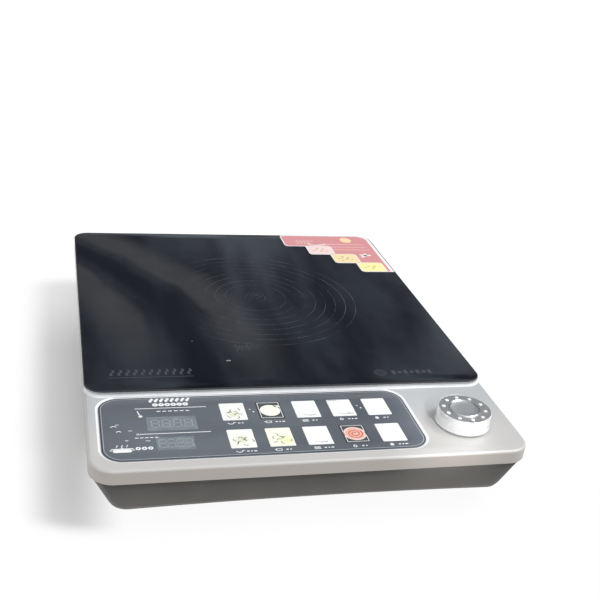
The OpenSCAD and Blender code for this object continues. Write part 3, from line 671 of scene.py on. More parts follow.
@dataclass(frozen=True)
class BoardMask(Finish):
    """A circuit board's coating with the faint relief of its copper tracks."""

    colour: Colour
    track: Colour
    scale: float = 0.16

    def link(self, s: Shader) -> bpy.types.Material:
        """A raised net of tracks."""
        settings = {"distance": "CHEBYCHEV", "feature": "F1"}
        cells = s.node("ShaderNodeTexVoronoi", settings, {"Vector": s.position(), "Scale": self.scale})
        lines = cells.over(0.40, 0.47) * cells.over(0.60, 0.53)
        return s.finish(
            Base_Color=s.mix(lines, self.colour, self.track),
            Roughness=0.35,
            Normal=s.bump(lines, 0.05, 0.6),
        )


# ---- Surfaces ----


def outline(width: float, depth: float, radius: float, steps: int = 16, centre: Point = (0.0, 0.0)) -> np.ndarray:
    """A rounded rectangle: each corner is a quarter circle about a point set in by the radius from both sides.

    Args:
        width: Size along X.
        depth: Size along Y.
        radius: Corner radius.
        steps: Steps in each corner.
        centre: The middle.

    Returns:
        The points, anticlockwise, as an (n, 2) array.
    """
    turn = np.radians(np.add.outer(np.array([-90.0, 0.0, 90.0, 180.0]), np.linspace(0.0, 90.0, steps + 1)))
    corner = np.array([[1, -1], [1, 1], [-1, 1], [-1, -1]]) * (width / 2 - radius, depth / 2 - radius)
    arcs = np.stack([np.cos(turn), np.sin(turn)], axis=2) * radius + corner[:, None, :]
    return arcs.reshape(-1, 2) + np.array(centre)


def circle(radius: float, steps: int = 64, centre: Point = (0.0, 0.0)) -> np.ndarray:
    """A circle: a radius turned through equal angles.

    Args:
        radius: The radius.
        steps: The number of points.
        centre: The middle.

    Returns:
        The points, anticlockwise, as an (n, 2) array.
    """
    turn = np.linspace(0.0, 2.0 * np.pi, steps, endpoint=False)
    return np.stack([np.cos(turn), np.sin(turn)], axis=1) * radius + np.array(centre)


def at_height(points: np.ndarray, z: float) -> np.ndarray:
    """The outline's points lifted to a height."""
    return np.column_stack([points, np.full(len(points), z)])


class Surface:
    """Vertices and faces that become one mesh, in millimetres."""

    def __init__(self) -> None:
        """Start with nothing."""
        self.points: list[np.ndarray] = []
        self.faces: list[Sequence[int]] = []
        self.count = 0

    def _take(self, points: np.ndarray) -> int:
        """Store points.

        Args:
            points: The points, (n, 3).

        Returns:
            The index of the first.
        """
        first = self.count
        self.points.append(np.asarray(points, float))
        self.count += len(points)
        return first

    def rings(self, loops: Sequence[np.ndarray], closed: bool = True) -> "Surface":
        """Join loops of equal length by bands of quads: point j of loop i meets point j of loop i + 1.

        Args:
            loops: Arrays of (n, 3) points.
            closed: Whether each loop's last point meets its first.

        Returns:
            This surface.
        """
        rows, cols = len(loops), len(loops[0])
        first = self._take(np.concatenate(loops))
        i, j = np.meshgrid(np.arange(rows - 1), np.arange(cols if closed else cols - 1), indexing="ij")
        a = first + i * cols + j
        b = first + i * cols + (j + 1) % cols
        quads = np.stack([a, b, b + cols, a + cols], axis=-1).reshape(-1, 4)
        self.faces.extend(map(tuple, quads))
        return self

    def fan(self, loop: Sequence[np.ndarray]) -> "Surface":
        """Close a loop of points by triangles that meet at its first point."""
        first = self._take(np.array(loop))
        self.faces.extend((first, first + k, first + k + 1) for k in range(1, len(loop) - 1))
        return self

    def lid(self, outer: np.ndarray, z: float, holes: Sequence[np.ndarray] = ()) -> "Surface":
        """A flat face with holes, cut into triangles.

        Args:
            outer: The outline, (n, 2).
            z: The height.
            holes: Outlines of the holes.

        Returns:
            This surface.
        """
        loops = [[Vector((x, y, 0.0)) for x, y in loop] for loop in (outer, *holes)]
        first = self._take(np.concatenate([at_height(loop, z) for loop in (outer, *holes)]))
        self.faces.extend(tuple(first + k for k in tri) for tri in tessellate_polygon(loops))
        return self

    def lathe(self, profile: Sequence[Point], centre: Point, base: float, steps: int = 96) -> "Surface":
        """Turn a profile about a vertical axis: each point's distance from the axis becomes a circle.

        Args:
            profile: Radius and height of each point, from one end to the other.
            centre: The axis.
            base: The height that the profile's heights are counted from.
            steps: Points around.

        Returns:
            This surface.
        """
        loops = [at_height(circle(max(r, 0.0), steps, centre), base + z) for r, z in profile]
        return self.rings(loops)

    def prism(self, shape: np.ndarray, low: float, high: float, holes: Sequence[np.ndarray] = ()) -> "Surface":
        """A flat shape given a thickness: a top, a bottom, and a wall around every outline.

        Args:
            shape: The outline, (n, 2).
            low: The height of the bottom.
            high: The height of the top.
            holes: Outlines of the holes.

        Returns:
            This surface.
        """
        self.lid(shape, high, holes)
        self.lid(shape, low, holes)
        for loop in (shape, *holes):
            self.rings([at_height(loop, low), at_height(loop, high)])
        return self

    def build(
        self, name: str, finish: bpy.types.Material, body: str, slot: str, sharp: float = 35.0
    ) -> bpy.types.Object:
        """Make the object, with its normals outward and smooth up to an angle.

        Args:
            name: The piece's name.
            finish: Its material.
            body: The body that it rides on.
            slot: The record's material slot.
            sharp: Edges sharper than this many degrees stay crisp.

        Returns:
            The object.
        """
        mesh = bpy.data.meshes.new(name)
        mesh.from_pydata(np.concatenate(self.points) * MM, [], self.faces)
        return piece_of(mesh, name, finish, body, slot, sharp)


def piece_of(
    mesh: bpy.types.Mesh, name: str, finish: bpy.types.Material, body: str, slot: str, sharp: float
) -> bpy.types.Object:
    """Make a mesh a piece: merge doubles, drop empty faces, turn normals outward and smooth it up to an angle.

    Args:
        mesh: The mesh.
        name: The piece's name.
        finish: Its material.
        body: The body that it rides on.
        slot: The record's material slot; not used.
        sharp: Edges sharper than this many degrees stay crisp.

    Returns:
        The object.
    """
    work = bmesh.new()
    work.from_mesh(mesh)
    bmesh.ops.remove_doubles(work, verts=work.verts, dist=MERGE)
    bmesh.ops.dissolve_degenerate(work, edges=work.edges, dist=MERGE / 2)
    bmesh.ops.recalc_face_normals(work, faces=work.faces)
    work.to_mesh(mesh)
    work.free()
    mesh.shade_smooth()
    mesh.set_sharp_from_angle(angle=math.radians(sharp))
    mesh.update()
    mesh.materials.clear()
    mesh.materials.append(finish)
    piece = stand(name, mesh)
    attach(piece, body)
    LOG.info("%s: %d faces on %s", name, len(mesh.polygons), body)
    return piece


def face_vectors(piece: bpy.types.Object, kind: str) -> np.ndarray:
    """Each face's centre or normal.

    Args:
        piece: The object.
        kind: "center" or "normal".

    Returns:
        The vectors, (n, 3), in metres for centres.
    """
    values = np.zeros(len(piece.data.polygons) * 3)
    piece.data.polygons.foreach_get(kind, values)
    return values.reshape(-1, 3)


def second_finish(piece: bpy.types.Object, finish: bpy.types.Material, chosen: np.ndarray) -> None:
    """Give some of a piece's faces another finish.

    Args:
        piece: The object.
        finish: The other finish.
        chosen: Which faces take it, one truth value each.
    """
    piece.data.materials.append(finish)
    piece.data.polygons.foreach_set("material_index", chosen.astype(np.int32))


def span(node: str) -> tuple[np.ndarray, np.ndarray]:
    """A CAD node's lowest and highest corners, in millimetres."""
    low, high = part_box(node)
    return np.array(low) / MM, np.array(high) / MM


def centre_of(node: str) -> Point:
    """The middle of a CAD node as seen from above, in millimetres."""
    low, high = span(node)
    return (low[0] + high[0]) / 2, (low[1] + high[1]) / 2


def radius_of(node: str) -> float:
    """Half the width of a round CAD node, in millimetres."""
    low, high = span(node)
    return (high[0] - low[0]) / 2


# ---- Printed marks ----


@dataclass
class Print:
    """Flat marks, each a closed slab a few hundredths of a millimetre thick."""

    height: float
    thickness: float = 0.03
    sunk: float = 0.01
    surface: Surface = field(default_factory=Surface)

    def shape(self, points: np.ndarray, holes: Sequence[np.ndarray] = ()) -> None:
        """Add a filled shape.

        Args:
            points: Its outline.
            holes: Outlines of its holes.
        """
        foot = self.height - self.sunk
        self.surface.prism(np.asarray(points, float), foot, self.height + self.thickness, holes)

    def frame(self, size: np.ndarray, middle: Point, corner: float, inset: float, width: float, steps: int) -> None:
        """A line of even width that runs round a rounded rectangle, set in from it.

        Args:
            size: The rectangle's width and depth.
            middle: Its middle.
            corner: Its corner radius.
            inset: How far the line's outer edge is set in.
            width: The line's width.
            steps: Steps in each corner.
        """
        outer, inner = (outline(*(size - 2 * i), corner - i, steps, middle) for i in (inset, inset + width))
        self.shape(outer, [inner])

    def bar(self, x: float, y: float, width: float, depth: float, round_by: float = 0.15) -> None:
        """A bar with softened corners, centred at a point."""
        self.shape(outline(width, depth, min(round_by, width / 2.01, depth / 2.01), 3, (x, y)))

    def row(self, count: int, x: float, y: float, pitch: float, width: float, depth: float) -> None:
        """A row of equal bars.

        Args:
            count: How many.
            x: The first one's place along X.
            y: Their place along Y.
            pitch: The step from one to the next.
            width: Each one's size along X.
            depth: Each one's size along Y.
        """
        for i in range(count):
            self.bar(x + i * pitch, y, width, depth)

    def ring(self, x: float, y: float, outer: float, inner: float, steps: int = 48) -> None:
        """A ring about a point."""
        self.shape(circle(outer, steps, (x, y)), [circle(inner, steps, (x, y))])

    def dot(self, x: float, y: float, radius: float) -> None:
        """A filled disc."""
        self.shape(circle(radius, 16, (x, y)))

    def stroke(self, path: np.ndarray, width: float) -> None:
        """A line of even width: each point moves half the width to either side of the path's direction.

        Args:
            path: Its points, (n, 2).
            width: Its width.
        """
        path = np.asarray(path, float)
        along = np.gradient(path, axis=0)
        along /= np.linalg.norm(along, axis=1)[:, None]
        side = np.stack([-along[:, 1], along[:, 0]], axis=1) * width / 2
        self.shape(np.concatenate([path - side, (path + side)[::-1]]))

    def arc(
        self, x: float, y: float, radius: float, start: float, end: float, width: float, squash: float = 1.0
    ) -> None:
        """Part of an ellipse as a line.

        Args:
            x: Its middle along X.
            y: Its middle along Y.
            radius: Half its size along X.
            start: The first angle, in degrees.
            end: The last angle, in degrees.
            width: The line's width.
            squash: Its size along Y over its size along X.
        """
        turn = np.radians(np.linspace(start, end, 20))
        self.stroke(np.stack([x + radius * np.cos(turn), y + radius * squash * np.sin(turn)], axis=1), width)

    def wave(self, x: float, y: float, length: float, swing: float, width: float) -> None:
        """An upright S-shaped line, as drawn for heat: the sideways place is a sine of the height."""
        t = np.linspace(-0.5, 0.5, 15)
        self.stroke(np.stack([x + swing * np.sin(2.0 * np.pi * t), y + length * t], axis=1), width)

    def build(self, name: str, ink: bpy.types.Material, slot: str, body: str = ROOT) -> bpy.types.Object:
        """Make the marks one piece.

        Args:
            name: The piece's name.
            ink: Its ink.
            slot: The record's material slot.
            body: The body that it rides on.

        Returns:
            The object.
        """
        return self.surface.build(name, ink, body, slot)


# ---- Sub-assemblies ----


@dataclass
class Camera:
    """The camera: where it stands, what it looks at, and its lens."""

    place: Place = (-0.1595, -0.6224, 0.3648)
    aim: Place = (0.0364, 0.0364, 0.0500)
    roll: float = 6.79
    lens: float = 55.42
    sensor: float = 36.0

    def build(self) -> None:
        """Make the camera and set it as the scene's."""
        data = bpy.data.cameras.new("view")
        data.lens, data.sensor_width = self.lens, self.sensor
        camera = stand("view", data)
        camera.matrix_world = facing(self.place, self.aim, self.roll)
        bpy.context.scene.camera = camera


@dataclass
class Cover:
    """The silver top cover: deck, upright band, panel recess and the posts under it."""

    band: float = 9.7
    wall: float = 2.2
    corner: float = 15.0
    edge: float = 2.0
    lip: float = 0.4
    slope: float = 1.5
    slope_round: float = 0.35
    slope_drop: float = 0.14
    film_gap: float = 0.3
    film_corner: float = 13.0
    shaft_hole: float = 3.8
    dish_gap: float = 4.0
    post: float = 4.0
    post_overlap: float = 0.3
    post_inset: Point = (22.0, 17.0)
    steps: int = 24

    def build(self, paint: bpy.types.Material, rim: bpy.types.Material) -> None:
        """Make the cover as one closed shell with its posts.

        Args:
            paint: Its finish.
            rim: The finish of the recess's sloping faces, a painted highlight.
        """
        low, high = span("top_cover")
        size = high[:2] - low[:2]
        deck, under = high[2], high[2] - self.wall
        shell = Surface()
        self._walls(shell, size, deck)
        film_low, film_high = span("panel_film")
        middle = tuple((film_low[:2] + film_high[:2]) / 2)
        film = film_high[:2] - film_low[:2]
        rims = [
            outline(*(film + 2 * grow), self.film_corner + grow, 16, middle)
            for grow in (self.slope + self.slope_round, self.slope, self.film_gap)
        ]
        shaft = circle(self.shaft_hole, 48, centre_of("encoder_nut"))
        heater = circle(radius_of("heater_dish") + self.dish_gap, 96, centre_of("heater_dish"))
        inset = outline(*(size - 2 * self.edge), self.corner - self.edge, self.steps)
        shell.lid(inset, deck, [rims[0], shaft, heater])
        shell.rings([
            at_height(rims[0], deck), at_height(rims[1], deck - self.slope_drop), at_height(rims[2], film_low[2]),
        ])
        openings = [self._opening(node) for node in (*KEY_ORDER, *WINDOWS)]
        shell.lid(rims[2], film_low[2], openings)
        for hole in openings:
            shell.rings([at_height(hole, film_low[2]), at_height(hole, under)])
        for hole in (shaft, heater):
            shell.rings([at_height(hole, deck), at_height(hole, under)])
        inner = outline(*(size - 2 * self.wall), self.corner - self.wall, self.steps)
        shell.lid(inner, under, [shaft, heater, *openings])
        for x in (-1, 1):
            for y in (-1, 0, 1):
                place = (x * (high[0] - self.post_inset[0]), y * (high[1] - self.post_inset[1]))
                top = under + self.post_overlap
                profile = [(0.0, low[2]), (self.post, low[2]), (self.post, top), (0.0, top)]
                shell.lathe(profile, place, 0.0, 32)
        piece = shell.build("silver_cover", paint, ROOT, "silver_paint", 28.0)
        # The recess's sloping faces take the rim finish, a painted highlight.
        place, tilt = face_vectors(piece, "center") / MM, face_vectors(piece, "normal")[:, 2]
        inside = np.all(np.abs(place[:, :2] - middle) < film / 2 + self.slope + 0.5, axis=1)
        sloping = (tilt > 0.2) & (place[:, 2] > film_low[2] - 0.02) & (place[:, 2] < deck - 0.02)
        second_finish(piece, rim, sloping & inside)
        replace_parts(piece, "top_cover")

    def _walls(self, shell: Surface, size: np.ndarray, deck: float) -> None:
        """The band inside and out, with a quarter-round edge: a loop for each height, set in by the rounding.

        Args:
            shell: The surface that takes them.
            size: The body's width and depth.
            deck: The height of the deck.
        """
        foot = deck - self.band

        def loop(inset: float, z: float) -> np.ndarray:
            """The body's outline set in and lifted."""
            return at_height(outline(*(size - 2 * inset), self.corner - inset, self.steps), z)

        turn = np.radians(np.linspace(0.0, 90.0, 10))
        rounding = [loop(self.edge * (1 - math.cos(a)), deck - self.edge + self.edge * math.sin(a)) for a in turn]
        shell.rings([
            loop(self.wall, deck - self.wall), loop(self.wall, foot), loop(self.lip, foot),
            loop(self.lip * 0.3, foot + self.lip * 0.3), loop(0.0, foot + self.lip), *rounding,
        ])

    @staticmethod
    def _opening(node: str) -> np.ndarray:
        """The opening for a key, which clears it, or for a window, which rests on its edge."""
        low, high = span(node)
        grow, corner = (0.3, 1.1) if node.endswith("_key") else (-0.5, 0.3)
        return outline(*(high[:2] - low[:2] + 2 * grow), corner, 4, centre_of(node))


@dataclass
class GlassTop:
    """The glass plate, its sealant and the cooking zone printed on it."""

    corner: float = 12.0
    arris: float = 0.7
    foot: float = 0.3
    grind: tuple[Point, ...] = ((0.0, 3.3), (0.09, 3.62), (0.34, 3.88))
    ring_pitch: float = 8.2
    ring_count: int = 10
    zone_offset: Point = (0.3, 0.8)
    line: float = 0.32
    bead_reach: float = 1.45
    bead_climb: float = 1.6
    bead_gap: float = 0.02
    bed_inset: float = 8.0
    bed_width: float = 7.0
    bed_depth: float = 1.2

    def build(
        self, inks: "Inks", glass: bpy.types.Material, edge: bpy.types.Material, sealant: bpy.types.Material
    ) -> None:
        """Make the plate, its ground edge, the sealant and the prints.

        Args:
            inks: The inks.
            glass: The polished face.
            edge: The ground edge.
            sealant: The bead's finish.
        """
        low, high = span("glass_plate")
        size, middle = high[:2] - low[:2], centre_of("glass_plate")

        def shape(inset: float) -> np.ndarray:
            """The plate's outline set in."""
            return outline(*(size - 2 * inset), self.corner - inset, 24, middle)

        levels = [(self.foot, 0.0), (0.0, self.foot), *self.grind, (self.arris, 4.0)]
        body = Surface()
        body.rings([at_height(shape(inset), low[2] + rise) for inset, rise in levels])
        body.lid(shape(self.arris), high[2])
        body.lid(shape(self.foot), low[2])
        plate = body.build("glass_sheet", glass, ROOT, "ceramic_glass", 20.0)
        second_finish(plate, edge, np.abs(face_vectors(plate, "normal")[:, 2]) < 0.95)
        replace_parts(plate, "glass_plate")
        self._sealant(sealant, size, middle, low)
        self._zone(middle, high[2], inks)

    def _sealant(self, finish: bpy.types.Material, size: np.ndarray, middle: Point, low: np.ndarray) -> None:
        """A hollow fillet along the front edge, carried along the plate's outline, and the flat bed under the glass.

        Args:
            finish: The sealant's finish.
            size: The plate's width and depth.
            middle: The plate's middle.
            low: The plate's lowest corner.
        """
        deck = low[2]
        edge = outline(*size, self.corner, 24, middle)
        edge = edge[edge[:, 1] < low[1] + self.corner * 0.9]
        edge = edge[np.argsort(edge[:, 0])]
        along = np.gradient(edge, axis=0)
        along /= np.linalg.norm(along, axis=1)[:, None]
        outward = np.stack([along[:, 1], -along[:, 0]], axis=1)
        limit = size[0] / 2 - 0.1
        turn = np.linspace(0.0, np.pi / 2, 8)
        gap = self.bead_gap
        section = [(gap + self.bead_reach * (1 - math.sin(a)), self.bead_climb * (1 - math.cos(a))) for a in turn]
        section += [(gap, 0.0), section[0]]
        strips = []
        for away, rise in section:
            strip = edge + outward * away
            strip[:, 0] = np.clip(strip[:, 0], -limit, limit)
            strips.append(at_height(strip, deck + 0.01 + rise))
        bead = Surface().rings(strips, closed=False)
        for end in (0, -1):
            bead.fan([strip[end] for strip in strips[:-1]])
        bed = [
            outline(*(size - 2 * inset), self.corner - turn_in, 12, middle)
            for inset, turn_in in ((self.bed_inset, 0.0), (self.bed_inset + self.bed_width, 2.0))
        ]
        bead.prism(bed[0], deck - self.bed_depth, deck, [bed[1]])
        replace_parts(bead.build("sealant_bead", finish, ROOT, "sealant", 50.0), "glass_seal")

    def _zone(self, middle: Point, top: float, inks: "Inks") -> None:
        """Even rings about the middle, with short rows of ticks at their front and left.

        Args:
            middle: The middle of the zone.
            top: The height of the glass.
            inks: The inks.
        """
        x, y = middle[0] + self.zone_offset[0], middle[1] + self.zone_offset[1]
        rings = Print(top)
        for k in (1, *range(3, self.ring_count + 1)):
            half = self.line / 2 * (1.5 if k > 8 else 1.0)
            rings.ring(x, y, self.ring_pitch * k + half, self.ring_pitch * k - half, 128)
        for start in (0.0, 180.0):
            rings.arc(x, y, 4.6, start, start + 140.0, 0.7)
            rings.arc(x, y, 2.3, start + 60.0, start + 190.0, 0.6)
        for i in range(12):
            rings.bar(x - 31.0 + i * 2.1, y - 85.2, 0.5, 9.0 if i % 4 == 0 else 6.5)
        rings.bar(x - 16.5, y - 83.5, 35.0, 0.4)
        for i in range(7):
            rings.bar(x - 66.4 + 0.2 * i, y - 35.0 + i * 4.1, 5.2 if i % 3 else 7.4, 0.5)
        rings.build("zone_rings", inks.faint, "ceramic_glass")
        marks = Print(top)
        # Painted highlight: a small bright reflection on the glass, drawn as a short pale bar.
        marks.bar(x - 40.0, y - 103.8, 3.4, 1.6, 0.7)
        marks.dot(x - 61.8, y - 73.8, 0.45)
        marks.build("zone_dot_and_painted_glint", inks.pale, "ceramic_glass")
        corner = Print(top)
        for i in range(11):
            corner.wave(x - 121.5 + i * 5.2, y - 117.5, 7.2, 1.1, 1.5)
        corner.bar(x - 96.0, y - 124.0, 57.0, 0.6)
        for i in range(3):
            corner.ring(x + 66.0, y - 126.0, 1.6 + i * 1.5, 1.0 + i * 1.5, 40)
        for i in range(7):
            corner.bar(x + 76.0 + i * 4.6, y - 126.0, 3.0, 5.2 - (i % 2) * 1.8, 0.6)
        corner.build("glass_corner_marks", inks.smoke, "ceramic_glass")


@dataclass
class CornerLabel:
    """The stepped sticker on the glass's rear right corner, with plain shapes for its pictures."""

    width: float = 88.0
    step_width: float = 19.2
    step_depth: float = 19.7
    first_depth: float = 26.5
    corner: float = 10.6
    border: float = 1.0
    margin: float = 3.2
    tab_corner: float = 3.4
    lap: float = 5.4

    def build(self, inks: "Inks") -> None:
        """Make the paper, the coloured field, the four tabs and the shapes on them.

        Args:
            inks: The inks.
        """
        low, high = span("corner_label")
        paper = Print(low[2], high[2] - low[2])
        paper.shape(self._staircase(high, 0.0))
        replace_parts(paper.build("label_paper", inks.paper, "label_print"), "corner_label")
        field = Print(high[2])
        field.shape(self._staircase(high, self.border))
        field.build("label_field", inks.rose, "label_print")
        for i, ink in ((1, inks.blush), (2, inks.apricot), (3, inks.lemon)):
            x = high[0] - self.width + i * self.step_width
            y = high[1] - self.first_depth - i * self.step_depth
            edge = Print(high[2] + 0.03)
            tab = outline(
                self.step_width + self.lap, self.step_depth + 1.0, self.tab_corner, 8,
                (x + (self.step_width + self.lap) / 2 + 0.2, y + self.step_depth / 2 + 0.7),
            )
            middle = tab.mean(axis=0)
            edge.shape(tab)
            edge.build(f"label_edge_{i}", inks.paper, "label_print")
            fill = Print(high[2] + 0.06)
            fill.shape((tab - middle) * (0.93, 0.92) + middle)
            fill.build(f"label_tab_{i}", ink, "label_print")
        self._shapes(high, inks)

    def _staircase(self, high: np.ndarray, inset: float) -> np.ndarray:
        """The stepped outline: down four steps from the back edge, each foot rounded, and round the far corner.

        Args:
            high: The label's rear right corner.
            inset: How far the outline is set in.

        Returns:
            The outline.
        """
        right, back = high[0] - inset * self.margin, high[1] - inset
        radius = self.corner - inset
        turn = np.radians(np.linspace(0.0, 90.0, 13))
        corner = np.stack([right - radius + radius * np.cos(turn), back - radius + radius * np.sin(turn)], axis=1)
        foot = self.tab_corner
        bend = np.radians(np.linspace(180.0, 270.0, 7))
        parts = [corner]
        for i in range(4):
            x = high[0] - self.width + i * self.step_width + inset
            y = high[1] - self.first_depth - i * self.step_depth + inset
            if i == 0:
                top = np.radians(np.linspace(90.0, 180.0, 7))
                parts.append(np.stack([x + foot + foot * np.cos(top), back - foot + foot * np.sin(top)], axis=1))
            parts.append(np.stack([x + foot + foot * np.cos(bend), y + foot + foot * np.sin(bend)], axis=1))
            if i < 3:
                parts.append(np.array([[x + self.step_width, y]]))
        end = high[1] - self.first_depth - 3 * self.step_depth + inset
        parts.append(np.array([[right, end]]))
        return np.concatenate(parts)

    def _shapes(self, high: np.ndarray, inks: "Inks") -> None:
        """A sun disc, a leaf, ruled lines and flecks in place of the sticker's pictures and words.

        Args:
            high: The label's rear right corner.
            inks: The inks.
        """
        x, y = high[0], high[1]
        cream = Print(high[2] + 0.04)
        cream.shape(circle(1.0, 32) * (5.6, 6.2) + (x - 24.6, y - 10.6))
        cream.build("label_sun", inks.butter, "label_print")
        pale = Print(high[2] + 0.04)
        for i in range(3):
            pale.bar(x - 33.0 + i * 2.0, y - 21.5 - i * 6.6, 44.0, 0.7)
        for line in range(2):
            pale.row(5 - line, x - 74.0, y - 14.0 - line * 5.0, 3.6, 2.4, 1.5)
        pale.build("label_rules", inks.blush, "label_print")
        leaf = Print(high[2] + 0.05)
        for turn in (20.0, 80.0, 150.0, 215.0):
            a = math.radians(turn)
            petal = circle(1.0, 20) * (3.6, 1.5)
            spin = np.array([[math.cos(a), math.sin(a)], [-math.sin(a), math.cos(a)]])
            leaf.shape((petal + (2.6, 0.0)) @ spin + (x - 16.0, y - 49.0))
        swoosh = np.radians(np.linspace(200.0, 340.0, 24))
        leaf.stroke(np.stack([x - 56.0 + 9.0 * np.cos(swoosh), y - 18.0 + 6.0 * np.sin(swoosh)], axis=1), 1.5)
        leaf.build("label_leaf", inks.paper, "label_print")
        dark = Print(high[2] + 0.09)
        for i, spots in enumerate((7, 8, 5)):
            cx = x - self.width + (i + 1) * self.step_width + 12.0
            cy = y - self.first_depth - (i + 1) * self.step_depth + 10.0
            for k in range(spots):
                a = 2.4 * k
                reach = 1.7 * math.sqrt(k + 0.5)
                dark.bar(cx + 1.7 * reach * math.cos(a), cy + 1.1 * reach * math.sin(a), 2.6 - 0.2 * (k % 3), 0.8)
        dark.build("label_flecks", inks.umber, "label_print")


@dataclass
class Panel:
    """The printed film, its two windows and everything printed on them."""

    corner: float = 13.0
    key_gap: float = 0.15
    window_gap: float = 0.1
    soft: float = 0.12
    digits: int = 4
    digit: Point = (4.6, 8.2)
    bar_width: float = 0.85
    pane_edge: float = 0.06

    def build(self, inks: "Inks", film: bpy.types.Material, smoke: bpy.types.Material) -> None:
        """Make the film, the windows, the digits and the marks.

        Args:
            inks: The inks.
            film: The film's finish.
            smoke: The windows' finish.
        """
        low, high = span("panel_film")
        middle, size = centre_of("panel_film"), high[:2] - low[:2]
        holes = []
        for node in (*KEY_ORDER, *WINDOWS):
            a, b = span(node)
            gap, turn = (self.key_gap, 0.95) if node.endswith("_key") else (self.window_gap, 0.05)
            holes.append(outline(*(b[:2] - a[:2] + 2 * gap), turn, 4, centre_of(node)))
        rim = [outline(*(size - 2 * i), self.corner - i, 16, middle) for i in (0.0, 0.0, self.soft * 0.4, self.soft)]
        rise = [0.0, -self.soft, -self.soft * 0.4, 0.0]
        sheet = Surface()
        heights = [low[2], high[2] + rise[1], high[2] + rise[2], high[2]]
        sheet.rings([at_height(loop, z) for loop, z in zip(rim, heights)])
        sheet.lid(rim[0], low[2], holes)
        sheet.lid(rim[3], high[2], holes)
        for hole in holes:
            sheet.rings([at_height(hole, low[2]), at_height(hole, high[2])])
        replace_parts(sheet.build("printed_film", film, ROOT, "slate_film"), "panel_film")
        self._borders(inks, size, middle, high[2])
        self._marks(inks, low, high[2])
        for node in WINDOWS:
            self._window(node, smoke, inks)
        for i, node in enumerate(KEY_ORDER):
            self._legend(node, i, inks)

    def _borders(self, inks: "Inks", size: np.ndarray, middle: Point, top: float) -> None:
        """Fine lines that run round the film: outlines set in by a fixed distance.

        Args:
            inks: The inks.
            size: The film's width and depth.
            middle: Its middle.
            top: Its height.
        """
        lines = (("film_edge", 0.35, 0.6, inks.navy), ("film_border", 1.35, 0.35, inks.silver))
        for name, inset, width, ink in lines:
            line = Print(top)
            line.frame(size, middle, self.corner, inset, width, 16)
            line.build(name, ink, "slate_film")

    def _marks(self, inks: "Inks", low: np.ndarray, top: float) -> None:
        """The heading's heat waves and discs, the two ruled lines with their pointers, and small marks at the left.

        Args:
            inks: The inks.
            low: The film's front left corner.
            top: The film's height.
        """
        x, y = low[0], low[1]
        white = Print(top)
        for i in range(8):
            white.wave(x + 34.0 + i * 3.4, y + 66.3, 4.2, 0.7, 1.7)
        for i in range(6):
            white.ring(x + 36.2 + i * 3.9, y + 60.7, 1.85, 0.5, 24)
        white.bar(x + 45.7, y + 56.6, 46.0, 0.6)
        white.row(6, x + 37.6, y + 52.8, 3.7, 2.5, 0.8)
        white.stroke(np.array([[x + 24.2, y + 53.6], [x + 24.9, y + 50.6], [x + 25.6, y + 48.4]]), 0.7)
        white.dot(x + 25.8, y + 47.6, 1.25)
        white.bar(x + 44.8, y + 27.5, 45.6, 0.6)
        white.dot(x + 22.6, y + 27.5, 0.95)
        white.row(5, x + 21.6, y + 23.6, 3.0, 2.1, 0.7)
        white.bar(x + 28.0, y + 20.2, 3.0, 0.5)
        white.build("film_heading", inks.white, "slate_film")
        small = Print(top)
        small.arc(x + 8.4, y + 35.6, 1.8, 20.0, 160.0, 0.6)
        small.arc(x + 11.2, y + 30.2, 1.4, 20.0, 160.0, 0.6)
        small.bar(x + 10.6, y + 38.8, 2.2, 0.45)
        small.bar(x + 18.2, y + 31.7, 2.2, 0.5)
        small.bar(x + 15.4, y + 21.2, 2.0, 0.6)
        self._pot(small, x + 12.2, y + 12.2)
        for i in range(3):
            small.ring(x + 21.6 + i * 3.7, y + 12.5, 1.6, 0.6, 24)
        small.build("film_marks", inks.white, "slate_film")

    @staticmethod
    def _pot(mark: "Print", x: float, y: float) -> None:
        """A plain pot with a lid, two handles and three wisps of steam.

        Args:
            mark: The print that takes it.
            x: Its middle along X.
            y: Its middle along Y.
        """
        mark.bar(x, y - 1.6, 11.0, 3.2, 1.1)
        mark.bar(x, y + 0.55, 13.2, 0.7)
        mark.bar(x, y + 1.5, 1.6, 0.6)
        for side in (-1, 1):
            mark.bar(x + side * 6.6, y - 0.9, 1.8, 0.7)
        for i in (-1, 0, 1):
            mark.wave(x + i * 3.0, y + 3.4, 2.4, 0.35, 0.45)

    def _window(self, node: str, smoke: bpy.types.Material, inks: "Inks") -> None:
        """A smoked window with unlit digits: each has seven bars at the sides and the middle of an upright box.

        Args:
            node: The window's node.
            smoke: The window's finish.
            inks: The inks.
        """
        low, high = span(node)
        middle, size = centre_of(node), high[:2] - low[:2]
        edge = self.pane_edge
        wide, narrow = outline(*size, 0.3, 3, middle), outline(*(size - 2 * edge), 0.25, 3, middle)
        pane = Surface()
        pane.rings([at_height(wide, low[2]), at_height(wide, high[2] - edge), at_height(narrow, high[2])])
        pane.lid(narrow, high[2])
        pane.lid(wide, low[2])
        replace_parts(pane.build(node + "_pane", smoke, ROOT, "tinted_window"), node)
        segments = Print(high[2], 0.02)
        width, height = self.digit
        height = min(height, size[1] - 5.0)
        pitch = size[0] / (self.digits + 0.55)
        for i in range(self.digits):
            x, y = middle[0] + (i - (self.digits - 1) / 2) * pitch, middle[1]
            for level in (-1, 0, 1):
                segments.bar(x, y + level * height / 2, width - 1.2, self.bar_width)
            for side in (-1, 1):
                for level in (-1, 1):
                    segments.bar(x + side * width / 2, y + level * height / 4, self.bar_width, height / 2 - 0.9)
            segments.dot(x + pitch / 2, y - height / 2, 0.5)
        segments.build(node + "_digits", inks.ghost, "tinted_window")

